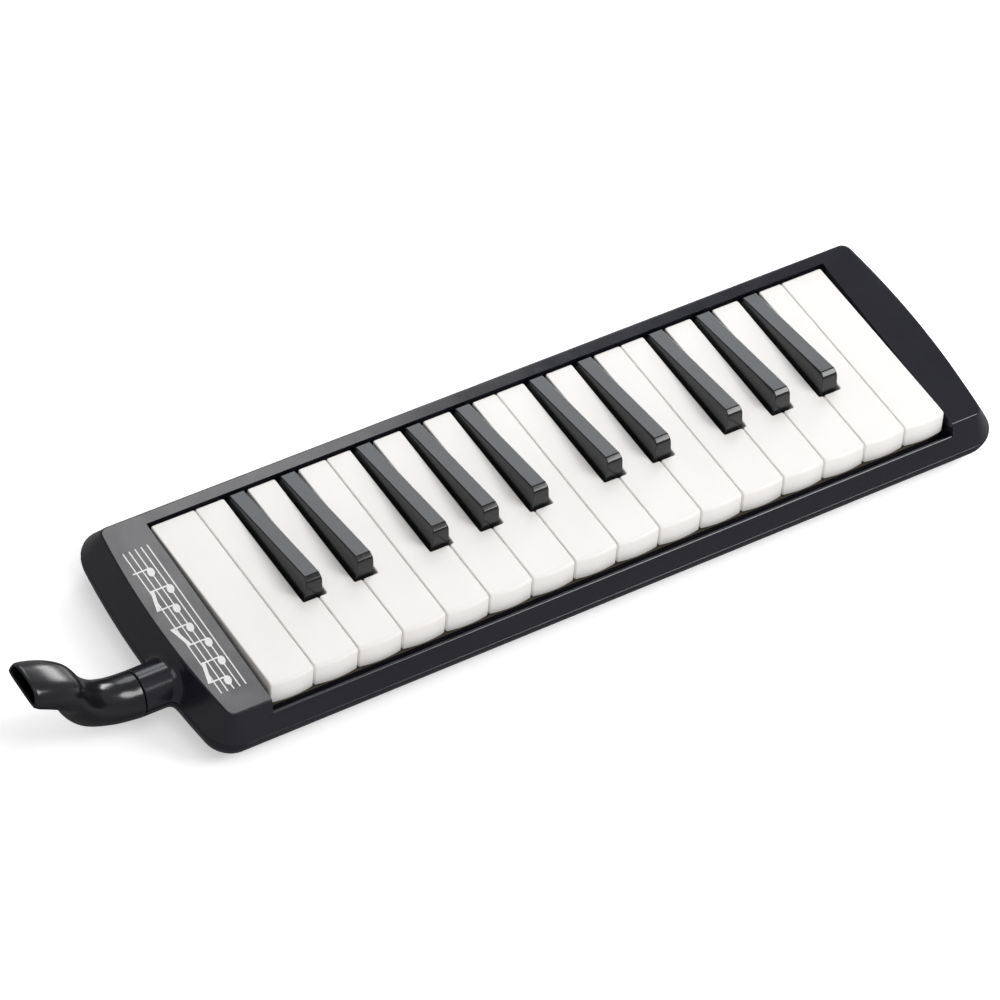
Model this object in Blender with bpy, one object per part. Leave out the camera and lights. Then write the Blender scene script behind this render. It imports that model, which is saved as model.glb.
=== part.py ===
"""A 26-key melodica: two case shells, sprung keys, reed chamber, drain valve and mouthpiece.

The frame is in metres, +Z up. The origin is on the case's flat underside, below the middle of its top face,
+X runs along the keyboard to the treble end and +Y runs away from the player.
Lengths in this file are in millimetres and are scaled to metres when a mesh is made.
"""
import math

import bmesh
import bpy
from mathutils import Matrix, Vector

MM = 0.001
GAP = 0.3                       # clearance between pieces that touch

# Case
CASE_TOP_Z = 27.0
SPLIT_Z = 13.6                  # the widest line, where the two covers meet
TOP_HALF_LENGTH = 181.9
TOP_FRONT_Y = 48.0
TOP_REAR_Y = 50.4
WIDE_HALF_LENGTH = 189.1
WIDE_SHIFT_X = 1.5              # the widest outline sits a little towards the treble end
WIDE_FRONT_Y = 53.8
WIDE_REAR_Y = 58.0
END_ARC_RADIUS = 340.0
TOP_CORNER_RADIUS = 4.0
WIDE_CORNER_RADIUS = 13.0
TOP_EDGE_BEVEL = 0.9
WALL = 2.0
FLOOR = 2.2
LIP_Z = 21.5                    # the low rail in front of the keys

# Keyboard
WHITE_NOTES = ("B3", "C4", "D4", "E4", "F4", "G4", "A4", "B4",
               "C5", "D5", "E5", "F5", "G5", "A5", "B5", "C6")
BLACK_OFFSETS = {"C": -1.5, "D": 1.8, "F": -3.4, "G": 0.0, "A": 3.4}
PITCH = 20.0
KEYBOARD_X = 1.6                # the keyboard's middle, beside the case's middle
WHITE_WIDTH = 19.65
WHITE_LENGTH = 87.1
KEY_TOP = 8.6                   # the white keys' top plane above the axle
FRONT_REACH = 60.0              # from the axle to the white keys' front edge
FRONT_DEPTH = 9.5
REAR_DEPTH = 5.5
FRONT_LEAN = 1.5
FRONT_SAG = 1.0
KEY_WALL = 1.4
KEY_TOP_WALL = 1.8
REST_TILT = 2.76                # degrees, front up
KEY_TRAVEL = 3.3                # degrees
NOTCH_FRONT = 29.0
NOTCH_HALF = 5.3
BLACK_FRONT = 29.9
BLACK_REAR = 86.9
BLACK_HALF = 4.1
BLACK_TOP_HALF = 3.3
BLACK_HEIGHT = 8.8
OPENING_HALF_X = 161.4
OPENING_REAR_Y = 44.9
OPENING_FRONT_Y = -48.1

SKIRT_END = 12.0                # how far the deep front skirt of a white key runs back
FRONT_STEPS = 4

# Axle, key ribs and springs
AXLE_Y = 16.5
AXLE_Z = 18.5
AXLE_RADIUS = 1.5
AXLE_HALF = 160.3
HOOK_RADIUS = 1.6
HOOK_OUTER = 4.2
HOOK_LOW_Z = -2.2
HOOK_STEPS = 8
NOSE_REACH = 12.0               # how far a rib reaches forward over its spring
RIB_HALF = 1.8
PAD_Y = (31.5, 42.5)            # where a key's foot stands on its pad
PAD_THICK = 2.4
COMB_Y = (-10.0, -4.0)
LEAF = 0.5
FINGER_TIP_Z = 21.0
LEDGE_Z = 14.8
LEDGE_REAR_Y = -30.0
FELT_TOP_Z = 16.7
FELT_Y = (-43.2, -34.0)
INNER_WALL_Z = 15.6             # lower edge of the opening's side walls
REAR_WALL_Z = 18.6

# Reed chamber stack, from the bottom
CHAMBER_X = (KEYBOARD_X - 160.0, KEYBOARD_X + 160.0)
CHAMBER_Y = (-22.0, 46.0)
LID_Z = (2.6, 9.0)
LID_FLOOR = 1.5
LID_CHAMFER = (4.5, 2.9)        # clears the rounded rear of the bottom cover
GASKET_Z = (9.3, 9.9)
PLATE_Z = (10.2, 11.2)
CHAMBER_Z = (11.5, 15.0)
CELL_TOP_Z = 13.4
CELL_HALF = 4.2
CELL_Y = (-15.5, 43.0)
HOLE_HALF = 2.6
HOLE_Y = (33.0, 41.0)
SLOT_HALF = 1.5
FRAME_WIDTH = 5.0
STACK_SCREW_R = 1.1
STACK_HEAD_R = 2.0
STACK_SEAT_Z = 6.9
BRACKET_BOUNDARIES = (0, 1, 4, 8, 11, 15, 16)   # white-key boundaries with no black key
BRACKET_INSET = 2.5
BRACKET_TOP_Z = 20.8

# Inlet and mouthpiece
INLET_Y = -15.0
INLET_Z = 13.5
RING_X = -198.7                 # where the mouthpiece meets the collar
COLLAR_R = 9.4
COLLAR_ROOT_R = 10.6
COLLAR_STRAIGHT = 3.0
COLLAR_FLARE_X = -185.0
COLLAR_END_X = -176.0
COLLAR_STEPS = 4
DUCT_R = 8.0
DUCT_BORE_R = 6.9
DUCT_END_X = -166.0
DUCT_SHOE_Y = (-21.0, -1.0)
DUCT_SHOE_TOP_Z = 13.0
PORT_Y = (-14.0, -3.0)
PORT_Z = (4.4, 8.6)
SPIGOT_R = 6.6
SPIGOT_LENGTH = 14.0
BORE_R = 5.3
MOUTH_SEGMENTS = 20
OVAL_POWER = 0.6
# reach from the ring, rise, turn in degrees, half width, half height, wall
MOUTH_SECTIONS = ((0.0, 0.0, 4, 9.4, 9.4, 2.6),
                  (7.0, 0.9, 9, 9.2, 9.2, 2.5),
                  (13.4, 2.6, 18, 9.0, 9.0, 2.4),
                  (21.0, 6.2, 33, 8.8, 8.8, 2.2),
                  (26.5, 11.4, 50, 8.9, 8.0, 2.0),
                  (30.8, 17.5, 57, 9.2, 6.9, 1.8),
                  (34.4, 24.6, 47, 10.1, 5.7, 1.6),
                  (39.2, 29.3, 32, 10.6, 5.0, 1.3),
                  (45.5, 33.2, 21, 10.7, 4.6, 1.2),
                  (51.4, 35.9, 8, 10.4, 4.3, 1.1),
                  (53.0, 36.5, 6, 9.7, 4.2, 1.1))

# Drain valve
DRAIN_Y = 10.0
DRAIN_Z = 7.8
DRAIN_PORT_Z = 6.7
VALVE_END_X = 174.5
VALVE_SEAT_X = (167.0, 168.5)
BUTTON_R = 3.3
BUTTON_FLANGE = (3.9, 177.2, 178.6)
BUTTON_TIP_X = 190.8
STEM_R = 1.1
SEAL_X = (164.4, 166.7)

# Case screws
SCREW_PLACES = ((-170.0, 37.0), (170.0, 37.0), (-170.0, -36.0), (170.0, -36.0),
                (-58.0, -34.0), (58.0, -34.0))
CORNER_SCREW_X = 100.0          # screws further out than this stand in the corners
SCREW_R = 1.45
SCREW_HEAD_R = 3.0
SCREW_SEAT_Z = 2.6
SCREW_TIP_Z = 13.4
BOSS_SPLIT_Z = 6.2
BOSS_R = 3.8

# Mesh steps
CORNER_STEPS = 4
END_STEPS = 4
DISH_STEPS = 4


# ---- helpers -------------------------------------------------------------

def clear_scene():
    """Remove every object that the file starts with."""
    for thing in list(bpy.data.objects):
        bpy.data.objects.remove(thing, do_unlink=True)


def make_material(name, colour, roughness, metallic=0.0):
    """Return a Principled material."""
    material = bpy.data.materials.new(name)
    material.use_nodes = True
    shader = material.node_tree.nodes["Principled BSDF"]
    shader.inputs["Base Color"].default_value = (*colour, 1.0)
    shader.inputs["Roughness"].default_value = roughness
    shader.inputs["Metallic"].default_value = metallic
    material.diffuse_color = (*colour, 1.0)
    return material


def make_object(name, bm, material=None, smooth_angle=35.0):
    """Turn a millimetre bmesh into a metre object."""
    bmesh.ops.scale(bm, vec=(MM, MM, MM), verts=bm.verts)
    bmesh.ops.recalc_face_normals(bm, faces=bm.faces)
    mesh = bpy.data.meshes.new(name)
    bm.to_mesh(mesh)
    bm.free()
    mesh.shade_smooth()
    mesh.set_sharp_from_angle(angle=math.radians(smooth_angle))
    if material:
        mesh.materials.append(material)
    thing = bpy.data.objects.new(name, mesh)
    bpy.context.scene.collection.objects.link(thing)
    return thing


def cut(target, cutter, operation="DIFFERENCE"):
    """Add a live Boolean and hide its operand."""
    modifier = target.modifiers.new(operation.title() + "_" + cutter.name, "BOOLEAN")
    modifier.operation = operation
    modifier.solver = "EXACT"
    modifier.object = cutter
    cutter.hide_render = True
    cutter.display_type = "WIRE"


def loft(bm, loops, cap_first=True, cap_last=True):
    """Join rings of points of equal length, and cap the ends asked for."""
    rings = [[bm.verts.new(point) for point in loop] for loop in loops]
    count = len(rings[0])
    for low, high in zip(rings, rings[1:]):
        for i in range(count):
            j = (i + 1) % count
            bm.faces.new((low[i], low[j], high[j], high[i]))
    if cap_first:
        bm.faces.new(reversed(rings[0]))
    if cap_last:
        bm.faces.new(rings[-1])
    return rings


def add_box(bm, low, high):
    """Add a box between two corners."""
    x0, y0, z0 = low
    x1, y1, z1 = high
    ring = ((x0, y0), (x1, y0), (x1, y1), (x0, y1))
    loft(bm, [[(x, y, z) for x, y in ring] for z in (z0, z1)])


def add_turned(bm, profile, centre, axis="Z", segments=16):
    """Add a solid of revolution; profile holds (radius, height) pairs from end to end."""
    turn = {"Z": Matrix.Identity(3), "X": Matrix.Rotation(math.pi / 2, 3, "Y")}[axis]
    loops = []
    for radius, height in profile:
        ring = []
        for i in range(segments):
            angle = 2 * math.pi * (i + 0.5) / segments
            point = Vector((radius * math.cos(angle), radius * math.sin(angle), height))
            ring.append(turn @ point + Vector(centre))
        loops.append(ring)
    loft(bm, loops)


def add_prism(bm, profile, x0, x1):
    """Add a (y, z) profile drawn out along X."""
    loft(bm, [[(x, y, z) for y, z in profile] for x in (x0, x1)])


def solid(name, shapes, material=None):
    """Make one object from a function that fills a bmesh."""
    bm = bmesh.new()
    shapes(bm)
    return make_object(name, bm, material)


# ---- case ----------------------------------------------------------------

def case_outline(half_length, front, rear, corner, z, inset, shift):
    """Return the case's outline at one height: straight sides, arched ends, round corners."""
    half = (front + rear) / 2 - inset
    radius = END_ARC_RADIUS - inset
    corner = max(corner - inset, 0.6)
    arc_x = half_length - END_ARC_RADIUS
    fillet_y = half - corner
    fillet_x = arc_x + math.sqrt((radius - corner) ** 2 - fillet_y ** 2)
    lean = math.asin(fillet_y / (radius - corner))
    quarter = []
    for i in range(1, END_STEPS):
        angle = lean * i / END_STEPS
        quarter.append((arc_x + radius * math.cos(angle), radius * math.sin(angle)))
    for i in range(CORNER_STEPS + 1):
        angle = lean + (math.pi / 2 - lean) * i / CORNER_STEPS
        quarter.append((fillet_x + corner * math.cos(angle), fillet_y + corner * math.sin(angle)))
    right = [(x, -y) for x, y in reversed(quarter)] + [(arc_x + radius, 0.0)] + quarter
    left = [(-x, -y) for x, y in right]
    return [(x + shift, y + (rear - front) / 2, z) for x, y in right + left]


def side_at(z, inset=0.0, level=None):
    """Return the outline of the top cover's sloping wall at height z, placed at level."""
    t = (z - SPLIT_Z) / (CASE_TOP_Z - TOP_EDGE_BEVEL - SPLIT_Z)
    return case_outline(WIDE_HALF_LENGTH + t * (TOP_HALF_LENGTH - WIDE_HALF_LENGTH),
                        WIDE_FRONT_Y + t * (TOP_FRONT_Y - WIDE_FRONT_Y),
                        WIDE_REAR_Y + t * (TOP_REAR_Y - WIDE_REAR_Y),
                        WIDE_CORNER_RADIUS + t * (TOP_CORNER_RADIUS - WIDE_CORNER_RADIUS),
                        z if level is None else level, inset, (1 - t) * WIDE_SHIFT_X)


def dish_at(height, inset):
    """Return the outline of the bottom cover at one height."""
    return case_outline(WIDE_HALF_LENGTH, WIDE_FRONT_Y, WIDE_REAR_Y,
                        WIDE_CORNER_RADIUS, height, inset, WIDE_SHIFT_X)


def open_shell(bm, outer_loops, inner_loops):
    """Join an outer and an inner stack of rings that meet at their first ring."""
    outer = loft(bm, outer_loops, cap_first=False)
    inner = loft(bm, inner_loops, cap_first=False)
    count = len(outer[0])
    for i in range(count):
        j = (i + 1) % count
        bm.faces.new((outer[0][i], outer[0][j], inner[0][j], inner[0][i]))


def collar_half(name, low_z, high_z):
    """Make one cover's half of the inlet collar, which flares into the end wall."""
    pairs = [(COLLAR_R - 0.5, RING_X), (COLLAR_R, RING_X + 0.5)]
    start = RING_X + COLLAR_STRAIGHT
    for i in range(COLLAR_STEPS + 1):
        t = i / COLLAR_STEPS
        pairs.append((COLLAR_R + (COLLAR_ROOT_R - COLLAR_R) * t * t, start + (COLLAR_FLARE_X - start) * t))
    pairs.append((COLLAR_ROOT_R, COLLAR_END_X))
    collar = solid(name, lambda bm: add_turned(bm, pairs, (0, INLET_Y, INLET_Z), "X", 20))
    keep = solid(name + "_keep", lambda bm: add_box(
        bm, (RING_X - 5, INLET_Y - 20, low_z), (COLLAR_END_X + 5, INLET_Y + 20, high_z)))
    cut(collar, keep, "INTERSECT")
    return collar


def inlet_bore(name):
    """Make the round passage that the duct sits in."""
    reach = [(DUCT_R + GAP, RING_X - 2), (DUCT_R + GAP, COLLAR_END_X + 5)]
    return solid(name, lambda bm: add_turned(bm, reach, (0.0, INLET_Y, INLET_Z), "X", 20))


def cover_bosses(name, low_z, high_z, high_z_front):
    """Make a screw boss at each case screw; the two at the front have their own top."""
    def shapes(bm):
        for x, y in SCREW_PLACES:
            top = high_z if abs(x) > CORNER_SCREW_X else high_z_front
            add_turned(bm, [(BOSS_R, low_z), (BOSS_R, top)], (x, y, 0.0), "Z", 12)
    return solid(name, shapes)


def build_top_cover(material):
    """Make the upper shell, with its key opening, front ledge and screw bosses."""
    bevel_z = CASE_TOP_Z - TOP_EDGE_BEVEL
    outer = [side_at(SPLIT_Z), side_at(bevel_z), side_at(bevel_z, TOP_EDGE_BEVEL, CASE_TOP_Z)]
    inner = [side_at(SPLIT_Z, WALL), side_at(CASE_TOP_Z - WALL, WALL)]
    cover = solid("top_cover", lambda bm: open_shell(bm, outer, inner), material)
    x0, x1 = KEYBOARD_X - OPENING_HALF_X, KEYBOARD_X + OPENING_HALF_X

    rear, under_top = OPENING_REAR_Y + WALL, CASE_TOP_Z - 1

    def opening_walls(bm):
        side = [(-51.5, INNER_WALL_Z), (rear, INNER_WALL_Z), (rear, under_top), (-47.3, under_top)]
        add_prism(bm, side, x0 - WALL, x0 + 1)
        add_prism(bm, side, x1 - 1, x1 + WALL)
    cut(cover, solid("opening_walls", opening_walls), "UNION")
    cut(cover, solid("rear_opening_wall", lambda bm: add_box(
        bm, (x0 - 1, OPENING_REAR_Y - 1, REAR_WALL_Z), (x1 + 1, rear, under_top))), "UNION")
    under = LEDGE_Z - WALL
    ledge = [(-53.2, under + 1), (-51.5, under + 1), (-51.0, under),
             (LEDGE_REAR_Y, under), (LEDGE_REAR_Y, LEDGE_Z), (-53.2, LEDGE_Z)]
    cut(cover, solid("front_ledge", lambda bm: add_prism(bm, ledge, x0 - 1.5, x1 + 1.5)), "UNION")
    join_z = BOSS_SPLIT_Z + GAP / 2
    cut(cover, cover_bosses("upper_bosses", join_z, under_top, LEDGE_Z - 0.5), "UNION")
    cut(cover, collar_half("upper_collar", SPLIT_Z + 0.15, 40.0), "UNION")
    cut(cover, solid("key_opening", lambda bm: add_box(
        bm, (x0, OPENING_FRONT_Y, LEDGE_Z + 0.1), (x1, OPENING_REAR_Y, 40))))
    cut(cover, solid("front_opening", lambda bm: add_box(bm, (x0, -60, LIP_Z), (x1, -40, 41))))
    cut(cover, inlet_bore("upper_inlet_bore"))

    def screw_bores(bm):
        for x, y in SCREW_PLACES:
            top = SCREW_TIP_Z + 1 if abs(x) > CORNER_SCREW_X else SCREW_TIP_Z + GAP
            add_turned(bm, [(SCREW_R + 0.05, 0), (SCREW_R + 0.05, top)], (x, y, 0), "Z", 12)
    cut(cover, solid("upper_screw_bores", screw_bores))
    return cover


def build_bottom_cover(material):
    """Make the rounded lower dish, with its bosses, its collar half and the drain hole."""
    top = SPLIT_Z - GAP
    inner_r = SPLIT_Z - FLOOR
    outer, inner = [dish_at(top, 0)], [dish_at(top, WALL)]
    for i in range(1, DISH_STEPS + 1):
        angle = math.pi / 2 * i / DISH_STEPS
        outer.append(dish_at(SPLIT_Z * (1 - math.sin(angle)), SPLIT_Z * (1 - math.cos(angle))))
        inner.append(dish_at(SPLIT_Z - inner_r * math.sin(angle), inner_r * (1 - math.cos(angle)) + WALL))
    cover = solid("bottom_cover", lambda bm: open_shell(bm, outer, inner), material)
    join_z = BOSS_SPLIT_Z - GAP / 2
    cut(cover, cover_bosses("lower_bosses", 1, join_z, join_z), "UNION")
    cut(cover, collar_half("lower_collar", 0.5, top), "UNION")
    cut(cover, inlet_bore("lower_inlet_bore"))

    def holes(bm):
        for x, y in SCREW_PLACES:
            steps = [(SCREW_HEAD_R + 0.3, -1), (SCREW_HEAD_R + 0.3, SCREW_SEAT_Z),
                     (SCREW_R + 0.3, SCREW_SEAT_Z), (SCREW_R + 0.3, BOSS_SPLIT_Z + 2)]
            add_turned(bm, steps, (x, y, 0), "Z", 12)
    cut(cover, solid("lower_screw_holes", holes))
    cut(cover, solid("drain_hole", lambda bm: add_turned(
        bm, [(BUTTON_R + GAP, 178), (BUTTON_R + GAP, 195)], (0, DRAIN_Y, DRAIN_Z), "X", 12)))
    return cover


def build_case_screw(number, x, y, material):
    """Make one pan-head screw that comes up from underneath."""
    profile = [(SCREW_HEAD_R - 0.4, SCREW_SEAT_Z - GAP - 2.0), (SCREW_HEAD_R, SCREW_SEAT_Z - GAP - 1.4),
               (SCREW_HEAD_R, SCREW_SEAT_Z - GAP), (SCREW_R, SCREW_SEAT_Z - GAP),
               (SCREW_R, SCREW_TIP_Z - 1), (SCREW_R - 0.5, SCREW_TIP_Z)]
    return solid(f"case_screw_{number}", lambda bm: add_turned(bm, profile, (x, y, 0), "Z", 12), material)


# ---- keys ----------------------------------------------------------------

def keyboard_layout():
    """Return (name, note letter, is_black, middle x, notch edges) for the 26 keys."""
    keys = []
    for i, note in enumerate(WHITE_NOTES):
        left = KEYBOARD_X + (i - len(WHITE_NOTES) / 2) * PITCH
        letter, octave = note[0], note[1]
        right_note = letter in BLACK_OFFSETS and i < len(WHITE_NOTES) - 1
        left_letter = WHITE_NOTES[i - 1][0] if i else ""
        stem = [left + (PITCH - WHITE_WIDTH) / 2, left + (PITCH + WHITE_WIDTH) / 2]
        notches = [None, None]
        if left_letter in BLACK_OFFSETS:
            notches[0] = stem[0] = left + BLACK_OFFSETS[left_letter] + NOTCH_HALF
        if right_note:
            notches[1] = stem[1] = left + PITCH + BLACK_OFFSETS[letter] - NOTCH_HALF
        keys.append((f"key_{note}", False, left + PITCH / 2, notches, sum(stem) / 2))
        if right_note:
            middle = left + PITCH + BLACK_OFFSETS[letter]
            keys.append((f"key_{letter}s{octave}", True, middle, None, middle))
    return keys


def white_outline(middle, notches):
    """Return a white key's outline as (x, distance from the front edge), anticlockwise."""
    half = WHITE_WIDTH / 2
    points = []
    for i in range(FRONT_STEPS + 1):
        t = 2 * i / FRONT_STEPS - 1
        points.append((middle + t * half, -FRONT_SAG * (1 - t * t)))
    points += [(middle + half, SKIRT_END), (middle + half, SKIRT_END + 4)]
    if notches[1] is not None:
        points += [(middle + half, NOTCH_FRONT), (notches[1], NOTCH_FRONT)]
    points += [(notches[1] or middle + half, WHITE_LENGTH), (notches[0] or middle - half, WHITE_LENGTH)]
    if notches[0] is not None:
        points += [(notches[0], NOTCH_FRONT), (middle - half, NOTCH_FRONT)]
    points += [(middle - half, SKIRT_END + 4), (middle - half, SKIRT_END)]
    return points


def offset_outline(points, inset):
    """Move every side of an anticlockwise outline inwards by the same amount."""
    moved = []
    count = len(points)
    for i in range(count):
        before, here, after = (Vector(points[(i + k) % count]) for k in (-1, 0, 1))
        first, second = (here - before).normalized(), (after - here).normalized()
        normals = Vector((-first.y, first.x)), Vector((-second.y, second.x))
        bisector = (normals[0] + normals[1]).normalized()
        moved.append(here + bisector * (inset / bisector.dot(normals[0])))
    return [(point.x, point.y) for point in moved]


def key_underside(distance):
    """Return the height of a white key's lower edge at a distance from its front."""
    t = min(max((distance - SKIRT_END) / 4, 0), 1)
    return KEY_TOP - FRONT_DEPTH + t * (FRONT_DEPTH - REAR_DEPTH)


def white_key_shell(bm, middle, notches, centre):
    """Fill a bmesh with a white key's moulded shell, open underneath."""
    outline = white_outline(middle, notches)
    inner = offset_outline(outline, KEY_WALL)

    def ring(points, height, lean=0.0):
        result = []
        for (x, s), (_, edge) in zip(points, outline):
            z = height(edge) if callable(height) else height
            shift = lean if edge <= 0 else 0
            result.append((x - centre, s - shift - FRONT_REACH, z))
        return result
    top = KEY_TOP
    outer = [ring(outline, key_underside, FRONT_LEAN), ring(outline, top - 0.8, 0.15),
             ring(offset_outline(outline, 0.5), top)]
    inside = [ring(inner, key_underside, FRONT_LEAN), ring(inner, top - KEY_TOP_WALL)]
    open_shell(bm, outer, inside)


def black_key_body(bm):
    """Fill a bmesh with a black key's wedge, which falls to the white keys' level at the rear."""
    def ring(front, rear, half, z_front, z_rear):
        corners = ((-half, front, z_front), (half, front, z_front), (half, rear, z_rear), (-half, rear, z_rear))
        return [(x, distance - FRONT_REACH, z) for x, distance, z in corners]
    low, top, tall = KEY_TOP - REAR_DEPTH, KEY_TOP, KEY_TOP + BLACK_HEIGHT
    loft(bm, [ring(BLACK_FRONT - 0.4, BLACK_REAR, BLACK_HALF, low, low),
              ring(BLACK_FRONT, BLACK_REAR, BLACK_HALF, top, top - 1.0),
              ring(BLACK_FRONT + 1.7, BLACK_REAR, BLACK_TOP_HALF + 0.35, tall - 1.9, top + 0.3),
              ring(BLACK_FRONT + 3.1, BLACK_REAR - 0.4, BLACK_TOP_HALF, tall, top + 1.0)])


def foot_height(y):
    """Return the height, in a key's own frame, of its foot that rests level on the pad."""
    tilt = math.radians(REST_TILT)
    level = CHAMBER_Z[1] + PAD_THICK - AXLE_Z
    return (level + y * math.sin(tilt)) / math.cos(tilt)


def rib_profile():
    """Return the (y, z) outline of a key's rib: its spring nose, axle hook and pad foot."""
    rear, front = PAD_Y[1] - AXLE_Y, PAD_Y[0] - AXLE_Y
    hook = []
    for i in range(HOOK_STEPS + 1):
        angle = math.pi * i / HOOK_STEPS
        hook.append((HOOK_RADIUS * math.cos(angle), HOOK_RADIUS * math.sin(angle)))
    right_leg = [(HOOK_OUTER, HOOK_LOW_Z), (HOOK_RADIUS, HOOK_LOW_Z)]
    left_leg = [(-HOOK_RADIUS, HOOK_LOW_Z), (-HOOK_OUTER, HOOK_LOW_Z)]
    top = KEY_TOP - KEY_TOP_WALL / 2
    nose = KEY_TOP - REAR_DEPTH + 0.1
    return ([(-NOSE_REACH, top), (-NOSE_REACH, nose), (-HOOK_OUTER, nose)] + left_leg[::-1]
            + hook[::-1] + right_leg[::-1] + [(HOOK_OUTER, nose), (front - 2, nose),
                                             (front, foot_height(front)), (rear, foot_height(rear)), (rear, top)])


def build_key(key, materials):
    """Make one key as a moulded body and its rib, with its origin on the axle."""
    name, is_black, middle, notches, centre = key
    pivot = (centre * MM, AXLE_Y * MM, AXLE_Z * MM)
    fill = black_key_body if is_black else lambda bm: white_key_shell(bm, middle, notches, centre)
    body = solid(name, fill, materials["black" if is_black else "white"])
    rib = solid(name + "_rib", lambda bm: add_prism(bm, rib_profile(), -RIB_HALF, RIB_HALF))
    cut(body, rib, "UNION")
    for thing in (body, rib):
        thing.location = pivot
        thing.rotation_euler = (math.radians(-REST_TILT), 0, 0)
    return body


def build_axle(material):
    """Make the steel rod that every key hooks onto."""
    reach = [(AXLE_RADIUS, KEYBOARD_X - AXLE_HALF), (AXLE_RADIUS, KEYBOARD_X + AXLE_HALF)]
    return solid("key_axle", lambda bm: add_turned(bm, reach, (0, AXLE_Y, AXLE_Z), "X", 20), material)


def build_felt(material):
    """Make the felt strip that the pressed keys land on."""
    half = OPENING_HALF_X - 1
    return solid("key_rest_felt", lambda bm: add_box(
        bm, (KEYBOARD_X - half, FELT_Y[0], LEDGE_Z + GAP), (KEYBOARD_X + half, FELT_Y[1], FELT_TOP_Z)), material)


def build_spring_comb(keys, material):
    """Make the spring strip, with one leaf finger under each key's nose."""
    y0, y1 = COMB_Y
    z0 = CHAMBER_Z[1] + GAP
    strip = solid("spring_comb", lambda bm: add_box(
        bm, (KEYBOARD_X - 156, y0, z0), (KEYBOARD_X + 156, y1, z0 + LEAF)), material)

    def fingers(bm):
        tip_y, tip_z = AXLE_Y - NOSE_REACH + 2, FINGER_TIP_Z
        bend = (y1 + 1.0, z0 + 0.1)
        profile = [(y1 - 2, z0 + 0.1), (bend[0], z0 + 0.1), (tip_y + 0.3, tip_z - LEAF),
                   (tip_y, tip_z), (bend[0] - 0.5, z0 + 0.1 + LEAF), (y1 - 2, z0 + 0.1 + LEAF)]
        for key in keys:
            add_prism(bm, profile, key[-1] - 1.4, key[-1] + 1.4)
    cut(strip, solid("spring_fingers", fingers), "UNION")
    return strip


# ---- reed chamber --------------------------------------------------------

def stack_screw_places():
    """Return the places of the screws that clamp the reed chamber together."""
    edge = FRAME_WIDTH / 2
    columns = (CHAMBER_X[0] + edge, KEYBOARD_X, CHAMBER_X[1] - edge)
    rows = (CHAMBER_Y[0] + edge, CHAMBER_Y[1] - edge)
    return [(x, y) for x in columns for y in rows]


def stack_screw_holes(name, steps):
    """Make the cutter of the chamber screws' holes through one layer."""
    def shapes(bm):
        for x, y in stack_screw_places():
            add_turned(bm, steps, (x, y, 0), "Z", 8)
    return solid(name, shapes)


def layer(name, span, material):
    """Make a plain rectangular layer of the chamber stack."""
    return solid(name, lambda bm: add_box(
        bm, (CHAMBER_X[0], CHAMBER_Y[0], span[0]), (CHAMBER_X[1], CHAMBER_Y[1], span[1])), material)


def frame_hole(name, z0, z1):
    """Make the cutter for the open middle of a frame-shaped layer."""
    return solid(name, lambda bm: add_box(
        bm, (CHAMBER_X[0] + FRAME_WIDTH, CHAMBER_Y[0] + FRAME_WIDTH, z0),
        (CHAMBER_X[1] - FRAME_WIDTH, CHAMBER_Y[1] - FRAME_WIDTH, z1)))


def build_chamber_lid(material):
    """Make the tray that closes the wind chamber, with its inlet and drain ports."""
    low, high = LID_Z
    front, rear = CHAMBER_Y
    profile = [(front, low), (rear - LID_CHAMFER[0], low), (rear, low + LID_CHAMFER[1]), (rear, high), (front, high)]
    lid = solid("chamber_lid", lambda bm: add_prism(bm, profile, *CHAMBER_X), material)
    cut(lid, frame_hole("lid_hollow", LID_Z[0] + LID_FLOOR, LID_Z[1] + 5))
    cut(lid, solid("lid_inlet_port", lambda bm: add_box(
        bm, (CHAMBER_X[0] - 5, PORT_Y[0], PORT_Z[0]), (CHAMBER_X[0] + 8, PORT_Y[1], PORT_Z[1]))))
    cut(lid, solid("lid_drain_port", lambda bm: add_turned(
        bm, [(1.6, CHAMBER_X[1] - 8), (1.6, CHAMBER_X[1] + 5)], (0, DRAIN_Y, DRAIN_PORT_Z), "X", 8)))
    hole = STACK_SCREW_R + 0.2
    cut(lid, stack_screw_holes("lid_screw_holes", [(STACK_HEAD_R + 0.3, 0), (STACK_HEAD_R + 0.3, STACK_SEAT_Z),
                                                   (hole, STACK_SEAT_Z), (hole, LID_Z[1] + 2)]))
    return lid


def build_gasket(material):
    """Make the flat rubber frame between the lid and the reed plate."""
    gasket = layer("chamber_gasket", GASKET_Z, material)
    cut(gasket, frame_hole("gasket_hollow", GASKET_Z[0] - 1, GASKET_Z[1] + 1))
    hole = STACK_SCREW_R + 0.2
    cut(gasket, stack_screw_holes("gasket_screw_holes", [(hole, GASKET_Z[0] - 1), (hole, GASKET_Z[1] + 1)]))
    return gasket


def slot_length(index, count):
    """Return the length of a reed slot, shorter towards the treble."""
    return 40.0 - 21.0 * index / (count - 1)


def build_reed_plate(keys, material):
    """Make the metal reed plate, with one slot under each key's cell."""
    plate = layer("reed_plate", PLATE_Z, material)

    def slots(bm):
        for i, key in enumerate(keys):
            rear = HOLE_Y[1]
            front = rear - slot_length(i, len(keys))
            add_box(bm, (key[-1] - SLOT_HALF, front, PLATE_Z[0] - 1), (key[-1] + SLOT_HALF, rear, PLATE_Z[1] + 1))
    cut(plate, solid("reed_slots", slots))
    hole = STACK_SCREW_R + 0.2
    cut(plate, stack_screw_holes("plate_screw_holes", [(hole, PLATE_Z[0] - 1), (hole, PLATE_Z[1] + 1)]))
    return plate


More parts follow.
